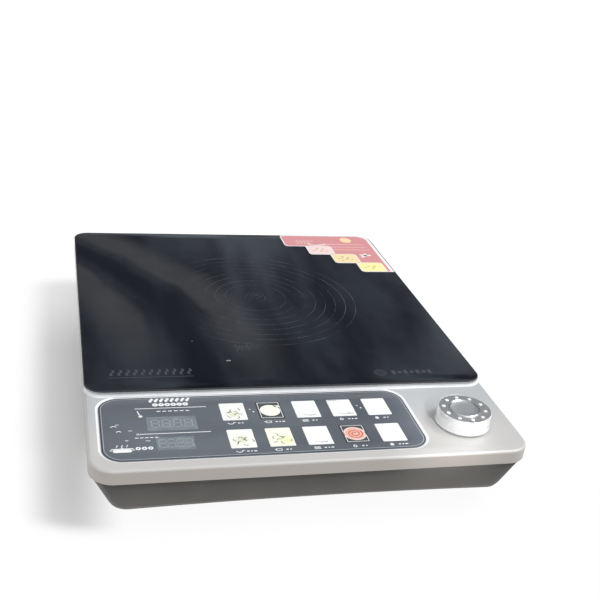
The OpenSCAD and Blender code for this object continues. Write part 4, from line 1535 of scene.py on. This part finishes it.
    def _legend(self, node: str, index: int, inks: "Inks") -> None:
        """A pictogram and short bars under a key.

        Args:
            node: The key's node.
            index: The key's place in the order.
            inks: The inks.
        """
        low, _ = span(node)
        middle, (_, film_high) = centre_of(node), span("panel_film")
        x, y = middle[0] - 3.6, low[1] - 3.5
        mark = Print(film_high[2])
        kind = index % 5
        if kind == 0:
            mark.arc(x, y + 0.7, 1.9, 180.0, 360.0, 0.55, 0.8)
            mark.bar(x + 2.5, y + 0.9, 1.8, 0.5)
        elif kind == 1:
            mark.shape(outline(4.0, 2.4, 0.6, 4, (x, y)), [outline(3.1, 1.5, 0.3, 4, (x, y))])
            mark.bar(x - 2.4, y + 0.4, 0.9, 0.4)
        elif kind == 2:
            for i in (-1, 0, 1):
                mark.bar(x, y + i * 0.95, 4.2, 0.5)
        elif kind == 3:
            mark.ring(x, y, 1.3, 0.75, 20)
            mark.bar(x, y + 1.3, 0.5, 1.0)
        else:
            mark.bar(x, y - 0.3, 2.3, 1.8, 0.3)
            mark.arc(x, y + 0.6, 0.8, 0.0, 180.0, 0.4)
        for i, width in enumerate((1.6, 1.1, 1.9)[: 2 + index % 2]):
            mark.bar(x + 5.2 + i * 2.3, y, width, 0.95, 0.3)
        if node in ("hot_pot_key", "lock_key"):
            mark.dot(low[0] - 4.9, middle[1] + 2.0, 0.5)
            mark.dot(low[0] - 3.0, middle[1] - 1.0, 0.6)
        mark.build(node + "_legend", inks.white, "slate_film")


@dataclass
class Key:
    """One key: a cap with softened edges, its plunger, and the picture on it."""

    node: str
    picture: "FoodPicture"
    cap: float = 1.7
    soft: float = 0.28
    corner: float = 0.8
    plunger: float = 1.75

    @property
    def body(self) -> str:
        """The body that the key moves with."""
        return self.node + "_body"

    def build(self, inks: "Inks") -> None:
        """Make the cap and its prints.

        Args:
            inks: The inks.
        """
        low, high = span(self.node)
        size, middle = high[:2] - low[:2], centre_of(self.node)
        turn = np.radians(np.linspace(0.0, 90.0, 6))
        levels = [(0.1, -self.cap), (0.0, -self.cap + 0.1)]
        levels += [(self.soft * (1 - math.cos(a)), self.soft * (math.sin(a) - 1)) for a in turn]
        loops = [
            at_height(outline(*(size - 2 * inset), self.corner - inset, 6, middle), high[2] + rise)
            for inset, rise in levels
        ]
        cap = Surface().rings(loops)
        cap.lid(loops[-1][:, :2], high[2])
        cap.lid(loops[0][:, :2], high[2] - self.cap)
        base = high[2] - self.cap
        stem = [(0.0, low[2]), (self.plunger - 0.2, low[2]), (self.plunger, low[2] + 0.2)]
        stem += [(self.plunger, base + 0.05), (0.0, base + 0.05)]
        cap.lathe(stem, middle, 0.0, 32)
        finish = self.picture.at(middle).build(self.node + "_picture")
        piece = cap.build(self.node + "_cap", finish, self.body, "key_picture", 40.0)
        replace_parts(piece, self.node)
        self._prints(middle, size, high[2], inks)

    def _prints(self, middle: Point, size: np.ndarray, top: float, inks: "Inks") -> None:
        """The flat shapes on the picture, which differ from key to key.

        Args:
            middle: The key's middle.
            size: Its width and depth.
            top: Its height.
            inks: The inks.
        """
        x, y = middle
        if self.node in ("hot_pot_key", "power_key"):
            loops = [outline(*(size - 2 * i), 0.5, 3, middle) for i in (0.9, 1.3)]
            line = Print(top)
            line.shape(loops[0], loops[1:])
            line.build(self.node + "_frame", inks.white, "key_picture", self.body)
        if self.node == "hot_pot_key":
            bowl = Print(top)
            bowl.shape(circle(1.0, 40) * (6.7, 6.6) + (x, y - 0.4))
            bowl.bar(x + 5.6, y + 4.3, 4.2, 2.2, 1.0)
            bowl.build("hot_pot_bowl", inks.cream, "key_picture", self.body)
        elif self.node == "power_key":
            ring = Print(top)
            ring.ring(x, y - 0.2, 7.4, 6.2)
            ring.build("power_ring", inks.blush, "power_picture", self.body)
            disc = Print(top)
            disc.dot(x, y - 0.2, 6.2)
            disc.build("power_disc", inks.ember, "power_picture", self.body)
            coil = Print(top + 0.03)
            turn = np.linspace(0.6, 4.2 * np.pi, 60)
            reach = 0.9 + 0.33 * turn
            coil.stroke(np.stack([x + reach * np.cos(turn), y - 0.2 + reach * np.sin(turn)], axis=1), 0.7)
            coil.build("power_coil", inks.brick, "power_picture", self.body)
        elif self.node in ("boil_key", "steam_key", "porridge_key"):
            wisp = Print(top)
            wisp.arc(x + 1.0, y - 5.6, 4.6, 200.0, 330.0, 0.5, 0.5)
            wisp.arc(x + 2.2, y - 6.4, 2.4, 200.0, 330.0, 0.35, 0.5)
            if self.node == "boil_key":
                wisp.arc(x - 5.4, y + 7.6, 1.8, 20.0, 160.0, 0.7)
                wisp.arc(x - 2.4, y + 8.4, 1.0, 0.0, 200.0, 0.5)
                wisp.arc(x + 5.0, y - 5.4, 2.2, 180.0, 330.0, 0.7)
            wisp.build(self.node + "_wisp", inks.mist, "key_picture", self.body)
        elif self.node in ("fry_key", "barbecue_key", "soup_key"):
            bits = Print(top)
            for k in range(9):
                a, reach, start = 2.4 * k + len(self.node), 1.55 * math.sqrt(k + 0.4), 40.0 * k
                place = (x + 1.25 * reach * math.cos(a), y - 2.4 + 1.1 * reach * math.sin(a))
                bits.arc(*place, 1.7, start, start + 110.0, 0.62)
            bits.build(self.node + "_bits", inks.olive, "key_picture", self.body)


@dataclass
class Knob:
    """The chrome knob with its grey face, middle cap and ring of raised marks."""

    radius: float = 18.0
    flare: float = 0.5
    hub: float = 6.0
    bore: float = 3.0
    wall: float = 2.5
    hub_foot: float = 2.8
    web: float = 1.2
    edge: float = 0.55
    seat: float = 8.6
    face_top: float = 9.9
    cap: float = 10.6
    cap_edge: float = 1.3
    cap_rounding: tuple[Point, ...] = (
        (0.0, 0.7), (0.08, 0.3), (0.3, 0.06), (0.5, 0.0), (0.7, 0.08), (1.1, 0.55), (1.35, 0.68),
    )
    mark_count: int = 10
    mark_ring: float = 13.9
    mark: float = 1.3
    mark_height: float = 0.4

    def build(
        self, chrome: bpy.types.Material, face: bpy.types.Material, cap: bpy.types.Material,
        mark: bpy.types.Material, rim: bpy.types.Material,
    ) -> None:
        """Make the knob's four pieces, each turned from a profile.

        Args:
            chrome: The skirt's finish.
            face: The face ring's finish.
            cap: The cap's finish.
            mark: The raised marks' finish.
            rim: The cap's polished edge.
        """
        low, high = span("knob_skirt")
        centre, base = centre_of("knob_skirt"), low[2]
        top = high[2] - low[2]
        turn = np.radians(np.linspace(0.0, 180.0, 13))
        outer, edge, foot, web = self.radius, self.edge, self.hub_foot, self.seat - self.web
        inner, brim = outer - edge, outer + self.flare
        lip = [(inner + edge * math.cos(a), top - edge + edge * math.sin(a)) for a in turn]
        lip = [(r, z) for r, z in lip if r > inner - 0.02]
        skirt = [
            (self.bore, foot), (self.hub, foot), (self.hub, web), (outer - self.wall, web),
            (outer - self.wall, 0.0), (brim - 0.25, 0.0), (brim, 0.25), (outer + self.flare * 0.55, 0.9),
            (outer + 0.06, 1.7), (outer, 2.6), *lip, (inner, self.seat), (self.bore, self.seat), (self.bore, foot),
        ]
        piece = Surface().lathe(skirt, centre, base, 128).build("knob_skirt_turned", chrome, "knob", "knob_chrome")
        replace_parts(piece, "knob_skirt")
        outer, hole, level = inner - 0.1, self.cap + 0.1, self.face_top
        ring = [
            (hole, self.seat), (hole, level - 0.1), (hole + 0.1, level), (outer - 0.35, level),
            (outer, level - 0.25), (outer, self.seat), (hole, self.seat),
        ]
        piece = Surface().lathe(ring, centre, base, 128).build("knob_face_turned", face, "knob", "knob_grey")
        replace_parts(piece, "knob_face")
        rise = span("knob_cap")[1][2] - base
        button = [(0.0, self.seat), (self.cap, self.seat)]
        button += [(self.cap - inset, rise - drop) for inset, drop in self.cap_rounding]
        button += [(self.cap * 0.5, rise - 0.72), (0.0, rise - 0.74)]
        piece = Surface().lathe(button, centre, base, 128).build("knob_cap_turned", cap, "knob", "knob_grey")
        away = np.linalg.norm(face_vectors(piece, "center")[:, :2] / MM - centre, axis=1)
        second_finish(piece, rim, away > self.cap - self.cap_edge)
        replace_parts(piece, "knob_cap")
        dots = Surface()
        for i in range(self.mark_count):
            a = math.pi / 2 + 2.0 * math.pi * i / self.mark_count
            place = (centre[0] + self.mark_ring * math.cos(a), centre[1] + self.mark_ring * math.sin(a))
            dome = [
                (0.0, 0.0), (self.mark, 0.0), (self.mark * 0.97, 0.15), (self.mark * 0.85, 0.3),
                (self.mark * 0.5, self.mark_height - 0.02), (0.0, self.mark_height),
            ]
            dots.lathe(dome, place, base + self.face_top, 24)
        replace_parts(dots.build("knob_marks", mark, "knob", "knob_dot"), "knob_dots")


@dataclass
class Foot:
    """A turned rubber foot with a grooved pad and a stem."""

    node: str
    radius: float = 11.0
    height: float = 10.0
    stem: float = 3.0
    stem_height: float = 5.0
    tread: tuple[Point, ...] = ((0.0, 0.7), (4.0, 0.7), (4.4, 0.0), (6.4, 0.0), (6.8, 0.6), (7.6, 0.6), (8.0, 0.0))

    def build(self, rubber: bpy.types.Material) -> None:
        """Make the foot.

        Args:
            rubber: Its finish.
        """
        low, _ = span(self.node)
        tip = self.height + self.stem_height
        side = [
            (self.radius - 1.0, 0.0), (self.radius - 0.3, 0.3), (self.radius, 1.0), (self.radius, self.height - 0.4),
            (self.radius - 0.4, self.height), (self.stem, self.height),
            (self.stem, tip - 0.5), (self.stem - 0.5, tip), (0.0, tip),
        ]
        piece = Surface().lathe([*self.tread, *side], centre_of(self.node), low[2], 72)
        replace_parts(piece.build(self.node + "_turned", rubber, ROOT, "foot_rubber"), self.node)


@dataclass
class Base:
    """The dark lower shell, which keeps its vents and wells, with its facets smoothed."""

    sharp: float = 24.0

    def build(self, plastic: bpy.types.Material) -> None:
        """Make the shell's smooth skin from a copy of the CAD shell, whose facets are joined."""
        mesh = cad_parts["base_shell"].data.copy()
        mesh.name = "base_shell_skin"
        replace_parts(piece_of(mesh, mesh.name, plastic, ROOT, "dark_plastic", self.sharp), "base_shell")


@dataclass
class Inks:
    """The printing inks and coloured papers."""

    white: bpy.types.Material
    pale: bpy.types.Material
    faint: bpy.types.Material
    smoke: bpy.types.Material
    ghost: bpy.types.Material
    silver: bpy.types.Material
    navy: bpy.types.Material
    paper: bpy.types.Material
    rose: bpy.types.Material
    blush: bpy.types.Material
    apricot: bpy.types.Material
    lemon: bpy.types.Material
    butter: bpy.types.Material
    umber: bpy.types.Material
    cream: bpy.types.Material
    ember: bpy.types.Material
    brick: bpy.types.Material
    mist: bpy.types.Material
    olive: bpy.types.Material

    @classmethod
    def mixed(cls) -> "Inks":
        """Every ink, made once."""
        recipes = {
            "white": Ink((0.88, 0.89, 0.90), (0.62, 0.65, 0.67)),
            "pale": Ink((0.26, 0.26, 0.27), (0.09, 0.10, 0.11)),
            "faint": ZonePrint(),
            "smoke": Ink((0.060, 0.064, 0.072), (0.030, 0.033, 0.040), wear=0.8),
            "ghost": Ink((0.300, 0.340, 0.360), (0.225, 0.262, 0.282), wear=0.9),
            "silver": Ink((0.50, 0.53, 0.56), (0.22, 0.25, 0.28), wear=0.7),
            "navy": Ink((0.045, 0.055, 0.070), (0.080, 0.095, 0.110)),
            "paper": Ink((0.88, 0.85, 0.86), (0.78, 0.75, 0.76)),
            "rose": Ink((0.68, 0.285, 0.295), (0.78, 0.43, 0.43), wear=0.6),
            "blush": Ink((0.88, 0.68, 0.66), (0.90, 0.79, 0.76), wear=0.6),
            "apricot": Ink((0.90, 0.74, 0.42), (0.92, 0.82, 0.58), wear=0.6),
            "lemon": Ink((0.92, 0.87, 0.40), (0.92, 0.89, 0.60), wear=0.6),
            "butter": Ink((0.92, 0.70, 0.40), (0.92, 0.80, 0.58), wear=0.6),
            "umber": Ink((0.36, 0.22, 0.12), (0.60, 0.42, 0.28), wear=0.6),
            "cream": Ink((0.92, 0.94, 0.84), (0.80, 0.84, 0.56), wear=0.8),
            "ember": Ink((0.84, 0.44, 0.34), (0.88, 0.62, 0.52), wear=0.8),
            "brick": Ink((0.50, 0.12, 0.08), (0.66, 0.22, 0.16), wear=0.6),
            "mist": Ink((0.45, 0.48, 0.47), (0.75, 0.77, 0.77), wear=0.5),
            "olive": Ink((0.24, 0.25, 0.13), (0.50, 0.52, 0.34), wear=0.6),
        }
        return cls(**{name: ink.build("ink_" + name) for name, ink in recipes.items()})


@dataclass
class Inside:
    """Everything under the cover, which keeps its shape and gets its real finish."""

    finishes: dict[str, tuple[Finish, tuple[str, ...]]]

    def dress(self) -> None:
        """Give each node its material."""
        for name, (finish, nodes) in self.finishes.items():
            material = finish.build(name)
            for node in nodes:
                mesh_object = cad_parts[node]
                for slot in mesh_object.material_slots:
                    slot.material = material
                if not mesh_object.material_slots:
                    mesh_object.data.materials.append(material)
                LOG.info("%s: %s", node, name)


@dataclass
class Studio:
    """A pale floor, soft lights and a dim room that only the reflections see."""

    floor_half: float = 6.0
    glow: float = 0.10
    # Glow of the painted light that washes out the body's shadow on the floor.
    painted_light_glow: float = 0.94
    room: float = 0.105
    streak: float = 0.30
    front: float = 0.50
    fill: float = 0.92
    cast: Colour = (0.86, 0.95, 1.08)
    slant: float = 35.0
    stretch: Place = (5.0, 0.9, 2.4)
    # Zones of painted light on the floor: under and in front of the body, beyond its front left corner, and faintly
    # behind it and far to its left.
    under_x: Point = (-152.0, -116.0)
    under_y: Point = (-60.0, -130.0)
    beyond_slope: float = 0.35
    beyond_start: float = -145.0
    beyond_edge: Point = (-164.0, -184.0)
    behind: Point = (40.0, 150.0)
    aside: Point = (-162.0, -200.0)

    def build(self) -> None:
        """Make the floor, the lights and the room."""
        self._floor()
        origin = (0.0, 0.0, 0.0)
        self._lamp("broad_light", "SUN", origin, (-1.0, 0.10, -1.5), {"energy": 1.15, "angle": math.radians(24.0)})
        knob = {"energy": 17.0, "spot_size": math.radians(6.0), "spot_blend": 1.0, "shadow_soft_size": 0.03}
        self._lamp("knob_lamp", "SPOT", (0.15, -0.57, 0.35), (0.083, -0.163, 0.047), knob)
        soft = {"shape": "RECTANGLE", "size": 1.1, "size_y": 1.1, "energy": 12.0}
        self._lamp("key_light", "AREA", (1.55, -0.35, 1.75), origin, soft)
        self._room()

    @staticmethod
    def _lamp(name: str, kind: str, place: Place, aim: Place, settings: dict[str, float | str]) -> None:
        """A light that faces a point.

        Args:
            name: Its name.
            kind: The type of light.
            place: Where it stands.
            aim: What it faces.
            settings: Its power and size.
        """
        data = bpy.data.lights.new(name, kind)
        for key, value in settings.items():
            setattr(data, key, value)
        stand(name, data).matrix_world = facing(place, aim)

    def _floor(self) -> None:
        """A square floor with a faint unevenness, which glows in front of the body and under it: painted light that
        washes out the shadow there.
        """
        half = self.floor_half
        mesh = bpy.data.meshes.new("studio_floor")
        corners = [(-half, -half, 0.0), (half, -half, 0.0), (half, half, 0.0), (-half, half, 0.0)]
        mesh.from_pydata(corners, [], [(0, 1, 2, 3)])
        s = Shader("floor_paint")
        where = s.position()
        x, y, _ = s.axes(where)
        tone = s.noise(where, 0.002, 2.0)
        paint = s.mix(tone, grey(0.88), grey(0.91))
        under = x.over(*self.under_x) * y.over(*self.under_y)
        beyond = (y + (x - self.beyond_start) * self.beyond_slope).over(*self.beyond_edge)
        behind = y.over(*self.behind) * 0.4
        aside = x.over(*self.aside) * 0.8
        # Painted light: in these zones the floor glows and its own colour turns dark, so the body's shadow does not
        # show.
        painted_light_mask = 1.0 - (1.0 - under) * (1.0 - beyond) * (1.0 - behind) * (1.0 - aside)
        glow = s.mix(painted_light_mask, grey(self.glow), grey(self.painted_light_glow))
        mesh.materials.append(s.finish(
            Base_Color=s.mix(painted_light_mask, paint, grey(0.06)), Roughness=0.9, Specular_IOR_Level=0.0,
            Emission_Color=glow, Emission_Strength=1.0,
        ))
        stand("studio_floor", mesh)

    def _room(self) -> None:
        """White to the camera; to everything else a dim room with soft slanting streaks of light."""
        world = bpy.data.worlds.new("studio_room")
        bpy.context.scene.world = world
        s = Tree(world)
        glossy, seen = (s.node("ShaderNodeLightPath", {}, {}, f"Is {kind} Ray") for kind in ("Glossy", "Camera"))
        where = s.node("ShaderNodeTexCoord", {}, {}, "Generated")
        slant = {"Rotation": (0.0, 0.0, math.radians(self.slant)), "Scale": self.stretch}
        turned = s.node("ShaderNodeMapping", {}, {"Vector": where, **slant})
        streaks = s.node("ShaderNodeTexNoise", {}, {"Vector": turned, "Scale": 1.3, "Detail": 3.0}, "Fac")
        _, y, _ = s.axes(where)
        strength = y.over(0.30, -0.40, 0.0, self.front) + streaks.over(0.42, 0.68, self.room, self.room + self.streak)
        dim = s.node("ShaderNodeBackground", {}, {"Color": (*self.cast, 1.0), "Strength": strength})
        fill = s.node("ShaderNodeBackground", {}, {"Strength": self.fill})
        white = s.node("ShaderNodeBackground", {}, {})
        soft = s.node("ShaderNodeMixShader", {}, {"Fac": glossy, 1: fill, 2: dim})
        s.show("ShaderNodeOutputWorld", s.node("ShaderNodeMixShader", {}, {"Fac": seen, 1: soft, 2: white}))


KEY_PICTURES = {
    "fry_key": FoodPicture((0.91, 0.92, 0.90), (0.74, 0.76, 0.50), (0.20, 0.22, 0.12), (0.0, -3.6), 4.6, 0.75),
    "hot_pot_key": FoodPicture((0.080, 0.090, 0.095), (0.10, 0.11, 0.11), (0.14, 0.15, 0.15), (0.0, 0.0), 5.0, 0.4),
    "porridge_key": FoodPicture((0.93, 0.95, 0.95), (0.88, 0.91, 0.91), (0.70, 0.73, 0.73), (0.0, -4.0), 2.5, 0.3),
    "boil_key": FoodPicture((0.93, 0.95, 0.94), (0.88, 0.91, 0.86), (0.40, 0.44, 0.38), (1.0, -5.0), 2.2, 0.5),
    "lock_key": FoodPicture((0.94, 0.95, 0.95), (0.92, 0.93, 0.93), (0.78, 0.80, 0.80), (2.0, -3.0), 2.0, 0.3),
    "barbecue_key": FoodPicture((0.92, 0.93, 0.89), (0.80, 0.82, 0.66), (0.16, 0.18, 0.12), (-0.5, -1.0), 6.4, 0.8),
    "soup_key": FoodPicture((0.92, 0.94, 0.82), (0.90, 0.91, 0.56), (0.34, 0.36, 0.16), (3.0, -3.5), 6.5, 0.5),
    "steam_key": FoodPicture((0.93, 0.95, 0.96), (0.91, 0.93, 0.94), (0.74, 0.76, 0.78), (-2.0, -2.0), 2.5, 0.3),
    "power_key": FoodPicture((0.085, 0.085, 0.090), (0.10, 0.10, 0.10), (0.14, 0.13, 0.13), (0.0, 0.0), 5.0, 0.3),
    "timer_key": FoodPicture((0.94, 0.95, 0.96), (0.92, 0.93, 0.94), (0.78, 0.80, 0.80), (-1.0, 3.0), 2.0, 0.3),
}

INSIDE = {
    "shaft_steel": (Metal((0.62, 0.62, 0.63), 0.25, Lay.AROUND), ("encoder_shaft",)),
    "encoder_zinc": (Metal((0.46, 0.47, 0.49), 0.38), ("encoder_body",)),
    "nut_brass": (Metal((0.62, 0.56, 0.42), 0.32), ("encoder_nut",)),
    "screw_steel": (Metal((0.58, 0.58, 0.60), 0.30), ("case_screws", "inner_screws", "fan_screws")),
    "switch_black": (Plastic((0.035, 0.035, 0.040), 0.45), ("tact_switches",)),
    "green_mask": (BoardMask((0.020, 0.110, 0.050), (0.045, 0.190, 0.090)), ("control_board",)),
    "digit_grey": (Plastic((0.085, 0.090, 0.095), 0.42, 0.01), ("upper_display", "lower_display")),
    "flat_cable": (Plastic((0.62, 0.61, 0.58), 0.5, 0.02, 0.6), ("ribbon_cable",)),
    "gland_black": (Plastic((0.022, 0.022, 0.023), 0.55), ("cord_gland",)),
    "dish_steel": (Metal((0.55, 0.56, 0.58), 0.35, Lay.AROUND, (0.0, 41.0)), ("heater_dish",)),
    "mineral_board": (Fibre((0.78, 0.75, 0.68)), ("heater_insulation",)),
    "ribbon_alloy": (Metal((0.38, 0.27, 0.22), 0.5), ("outer_ribbon", "inner_ribbon")),
    "quartz_tube": (Plastic((0.74, 0.76, 0.74), 0.18, 0.005), ("limiter_rod",)),
    "steatite": (Plastic((0.76, 0.73, 0.65), 0.65, 0.03), ("limiter_switch", "heater_terminal")),
    "bracket_steel": (Metal((0.52, 0.53, 0.55), 0.38, Lay.ALONG_X), ("heater_bracket",)),
    "leaf_spring": (Metal((0.42, 0.44, 0.48), 0.28, Lay.ALONG_X), ("heater_springs",)),
    "shield_sheet": (Metal((0.66, 0.67, 0.68), 0.24, Lay.AROUND, (0.0, 41.0)), ("heat_shield",)),
    "glass_sleeve": (Fibre((0.66, 0.64, 0.55), 2.5), ("heater_leads",)),
    "fan_black": (Plastic((0.028, 0.028, 0.030), 0.48), ("fan_frame",)),
    "rotor_black": (Plastic((0.018, 0.018, 0.020), 0.40), ("fan_rotor",)),
    "winding_copper": (Metal((0.62, 0.30, 0.15), 0.32, Lay.AROUND, (-78.0, -100.0)), ("fan_stator",)),
    "tan_mask": (BoardMask((0.36, 0.26, 0.11), (0.44, 0.34, 0.17)), ("power_board",)),
    "sink_aluminium": (Metal((0.60, 0.61, 0.63), 0.34, Lay.ALONG_X), ("heat_sink",)),
    "triac_epoxy": (Plastic((0.022, 0.022, 0.024), 0.4, 0.01), ("power_triac",)),
    "relay_blue": (Plastic((0.025, 0.075, 0.230), 0.35, 0.01), ("relay",)),
    "capacitor_yellow": (Plastic((0.58, 0.40, 0.05), 0.38, 0.01), ("filter_capacitor",)),
    "transformer_tape": (Plastic((0.52, 0.38, 0.08), 0.32, 0.02), ("transformer",)),
    "fuse_glass": (Plastic((0.66, 0.68, 0.64), 0.12, 0.005), ("fuse",)),
    "terminal_green": (Plastic((0.03, 0.16, 0.09), 0.42), ("mains_terminal",)),
}


def main() -> None:
    """Build the cooktop's visible pieces, dress what stays, and set the stage."""
    logging.basicConfig(level=logging.INFO, format="%(name)s %(message)s")
    bpy.context.scene.view_settings.view_transform = "Standard"
    Camera().build()
    Studio().build()
    inks = Inks.mixed()
    LOG.info("base and feet")
    Base().build(Plastic((0.098, 0.091, 0.083), 0.5, 0.03, 1.2).build("base_plastic"))
    rubber = Plastic((0.020, 0.020, 0.020), 0.75, 0.05, 0.9).build("foot_rubber")
    for node in FEET:
        Foot(node).build(rubber)
    LOG.info("cover and glass")
    # A near-white paint for the recess's sloping faces: a painted highlight.
    bright = SilverPaint(grey(0.90), grey(0.84), 0.0, 0.25, grey(0.88), (0.88, 0.89, 0.91))
    Cover().build(SilverPaint().build("silver_paint"), bright.build("painted_highlight_rim"))
    glass, edge = BlackGlass().build("black_glass"), GroundEdge().build("ground_edge")
    GlassTop().build(inks, glass, edge, Sealant().build("sealant_silicone"))
    CornerLabel().build(inks)
    LOG.info("panel, keys and knob")
    Panel().build(inks, PrintedFilm().build("slate_film"), SmokedFilm().build("smoked_window"))
    for node in KEY_ORDER:
        Key(node, KEY_PICTURES[node]).build(inks)
    axis = centre_of("knob_skirt")
    Knob().build(
        SatinChrome().build("bright_chrome"),
        Metal((0.74, 0.74, 0.73), 0.45, Lay.AROUND, axis).build("face_grey"),
        Metal((0.80, 0.80, 0.79), 0.48, Lay.AROUND, axis).build("cap_grey"),
        Ink((0.86, 0.87, 0.88), (0.74, 0.75, 0.76), 0.3).build("mark_white"),
        Metal(grey(0.90), 0.22, Lay.NONE, axis, 0.002, 0.03).build("cap_rim"),
    )
    LOG.info("inside")
    Inside(INSIDE).dress()


if __name__ == "__main__":
    main()
